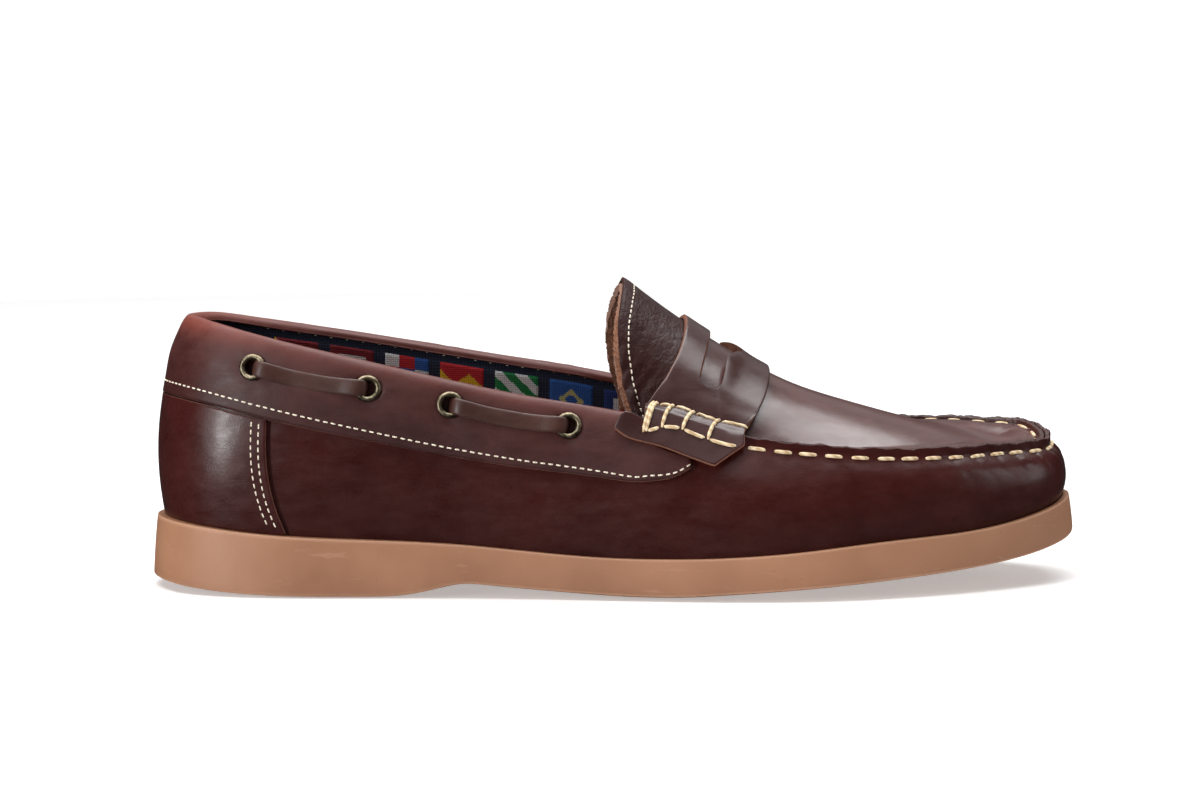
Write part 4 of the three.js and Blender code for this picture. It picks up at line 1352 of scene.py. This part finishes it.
# %% Rolls of the strap
def tube(path, radius, sides=8):
    """A thread along a path, rounded off at its ends."""
    tangents = np.gradient(path, axis=0)
    tangents /= np.linalg.norm(tangents, axis=1, keepdims=True)
    side = np.cross(tangents, [0.31, 0.17, 0.94])
    side /= np.linalg.norm(side, axis=1, keepdims=True)
    other = np.cross(tangents, side)
    turns = np.linspace(0, 2 * np.pi, sides, endpoint=False)
    share = np.linspace(-1, 1, len(path))
    taper = np.maximum(1 - np.abs(share) ** 12, 0.25) ** 0.5 * radius
    points = [
        p + r * (np.outer(np.cos(turns), s) + np.outer(np.sin(turns), o))
        for p, r, s, o in zip(path, taper, side, other)
    ]
    return np.vstack(points), loft_faces(sides, len(path))


LOOPS_AT = (8.4, 9.3, 14.2, 20.6, 28.4)  # along the foot
ROLL_END = 38.0
LOW, HIGH = math.radians(-20), math.radians(101)  # ends of a loop, round the roll
roll_parts = []
for side in (-1, 1):
    line = np.array([p for p in ring if p[1] * side > 0 and 0 < p[0] < 45 * MM])
    line = line[np.argsort(line[:, 0])]

    def axis_at(x):
        spot = np.array([np.interp(x, line[:, 0], line[:, i]) for i in range(3)])
        out = outward(spot[None])[0]
        return spot + out * ROLL_CENTRE[0] + np.array([0, 0, ROLL_CENTRE[1]]), out

    def on_roll(x, angle, lift=0.42 * MM):
        """The strap's surface, seen from the middle of the roll, and a little above it."""
        centre, out = axis_at(x)
        way = out * math.cos(angle) + np.array([0, 0, 1]) * math.sin(angle)
        hit = strap_tree.ray_cast(Vector(centre + way * 12 * MM), Vector(-way))[0]
        reach = ROLL_RADIUS if hit is None else np.linalg.norm(np.array(hit) - centre)
        return centre + way * (min(reach, ROLL_RADIUS + 5 * MM) + lift)

    for at in LOOPS_AT:
        turn = np.linspace(0, 1, 15)
        path = [on_roll((at - 2.2 + 4.2 * t) * MM, LOW + (HIGH - LOW) * t) for t in turn]
        roll_parts.append(tube(np.array(path), 0.6 * MM))
    for start, stop in zip(LOOPS_AT[1:], (*LOOPS_AT[2:], ROLL_END)):
        for angle, shift in ((LOW, -2.2), (HIGH, 2.0)):
            steps = np.linspace(start + shift + 0.6, stop + shift - 1.0, 9) * MM
            lifts = (0.42 - 0.5 * np.abs(np.linspace(-1, 1, 9)) ** 4) * MM
            path = [on_roll(x, angle, lift) for x, lift in zip(steps, lifts)]
            roll_parts.append(tube(np.array(path), 0.56 * MM))
give(built("thick_stitches", *joined(thick_rows + roll_parts)), "thread", thread_finish)

# %% Fine stitches
collar_tree = surface(collar)
counter_tree = surface(counter)
tongue_tree = surface(tongue)
fine_rows = []
SEWN = (1.6 * MM, 2.45 * MM)  # a fine stitch's length, and how far on the next one starts
hem = max(hem_lines, key=lambda line: lengths(line)[-1])
hem_smooth = smooth_line(hem, 1 * MM)
hem_up = hem_smooth + outward(hem_smooth) * 1.5 * MM
hem_up[:, 2] += np.interp(hem_smooth[:, 0] / MM, [-140, -60, 20], [4.2, 2.8, 1.8]) * MM
fine_rows.append(row(hem_up, collar_tree, *SEWN, 0.25 * MM, fine_thread))
for edge in counter_edges:
    edge = smooth_line(edge[np.argsort(edge[:, 2])], 1 * MM)
    for back in (2.4, 4.9):
        moved = edge - np.array([back * MM, 0, 0]) + outward(edge) * 1 * MM
        moved = moved[moved[:, 2] > 21 * MM]
        phase = back * 0.3 * MM
        fine_rows.append(row(moved, counter_tree, *SEWN, 0.24 * MM, fine_thread, phase))
turns = np.linspace(-85, 77, 90)
tongue_edge = np.array([
    (x, reach_at(x, turn) * math.sin(turn), TONGUE_AXIS + reach_at(x, turn) * math.cos(turn))
    for x, turn in zip(np.interp(np.abs(turns), *REAR_EDGE) * MM + 3.2 * MM, np.radians(turns))
])
fine_rows.append(row(tongue_edge, tongue_tree, 1.45 * MM, 2.1 * MM, 0.25 * MM, fine_thread))
for side in (-1, 1):
    top = np.array([p for p in ring if p[1] * side > 12 * MM and p[0] < 0])
    top = top[np.argsort(top[:, 0])]
    top = lowered(top - outward(top) * 3 * MM, 0.6 * MM)
    fine_rows.append(row(top, lining_tree, 0.9 * MM, 5.2 * MM, 0.16 * MM, fine_thread))
give(built("fine_stitches", *joined(fine_rows)), "thread", fine_thread_finish)

# %% Sizes for comparison
visual_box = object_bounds()
print("visual box", [round(v / MM, 1) for v in (*visual_box[0], *visual_box[1])])
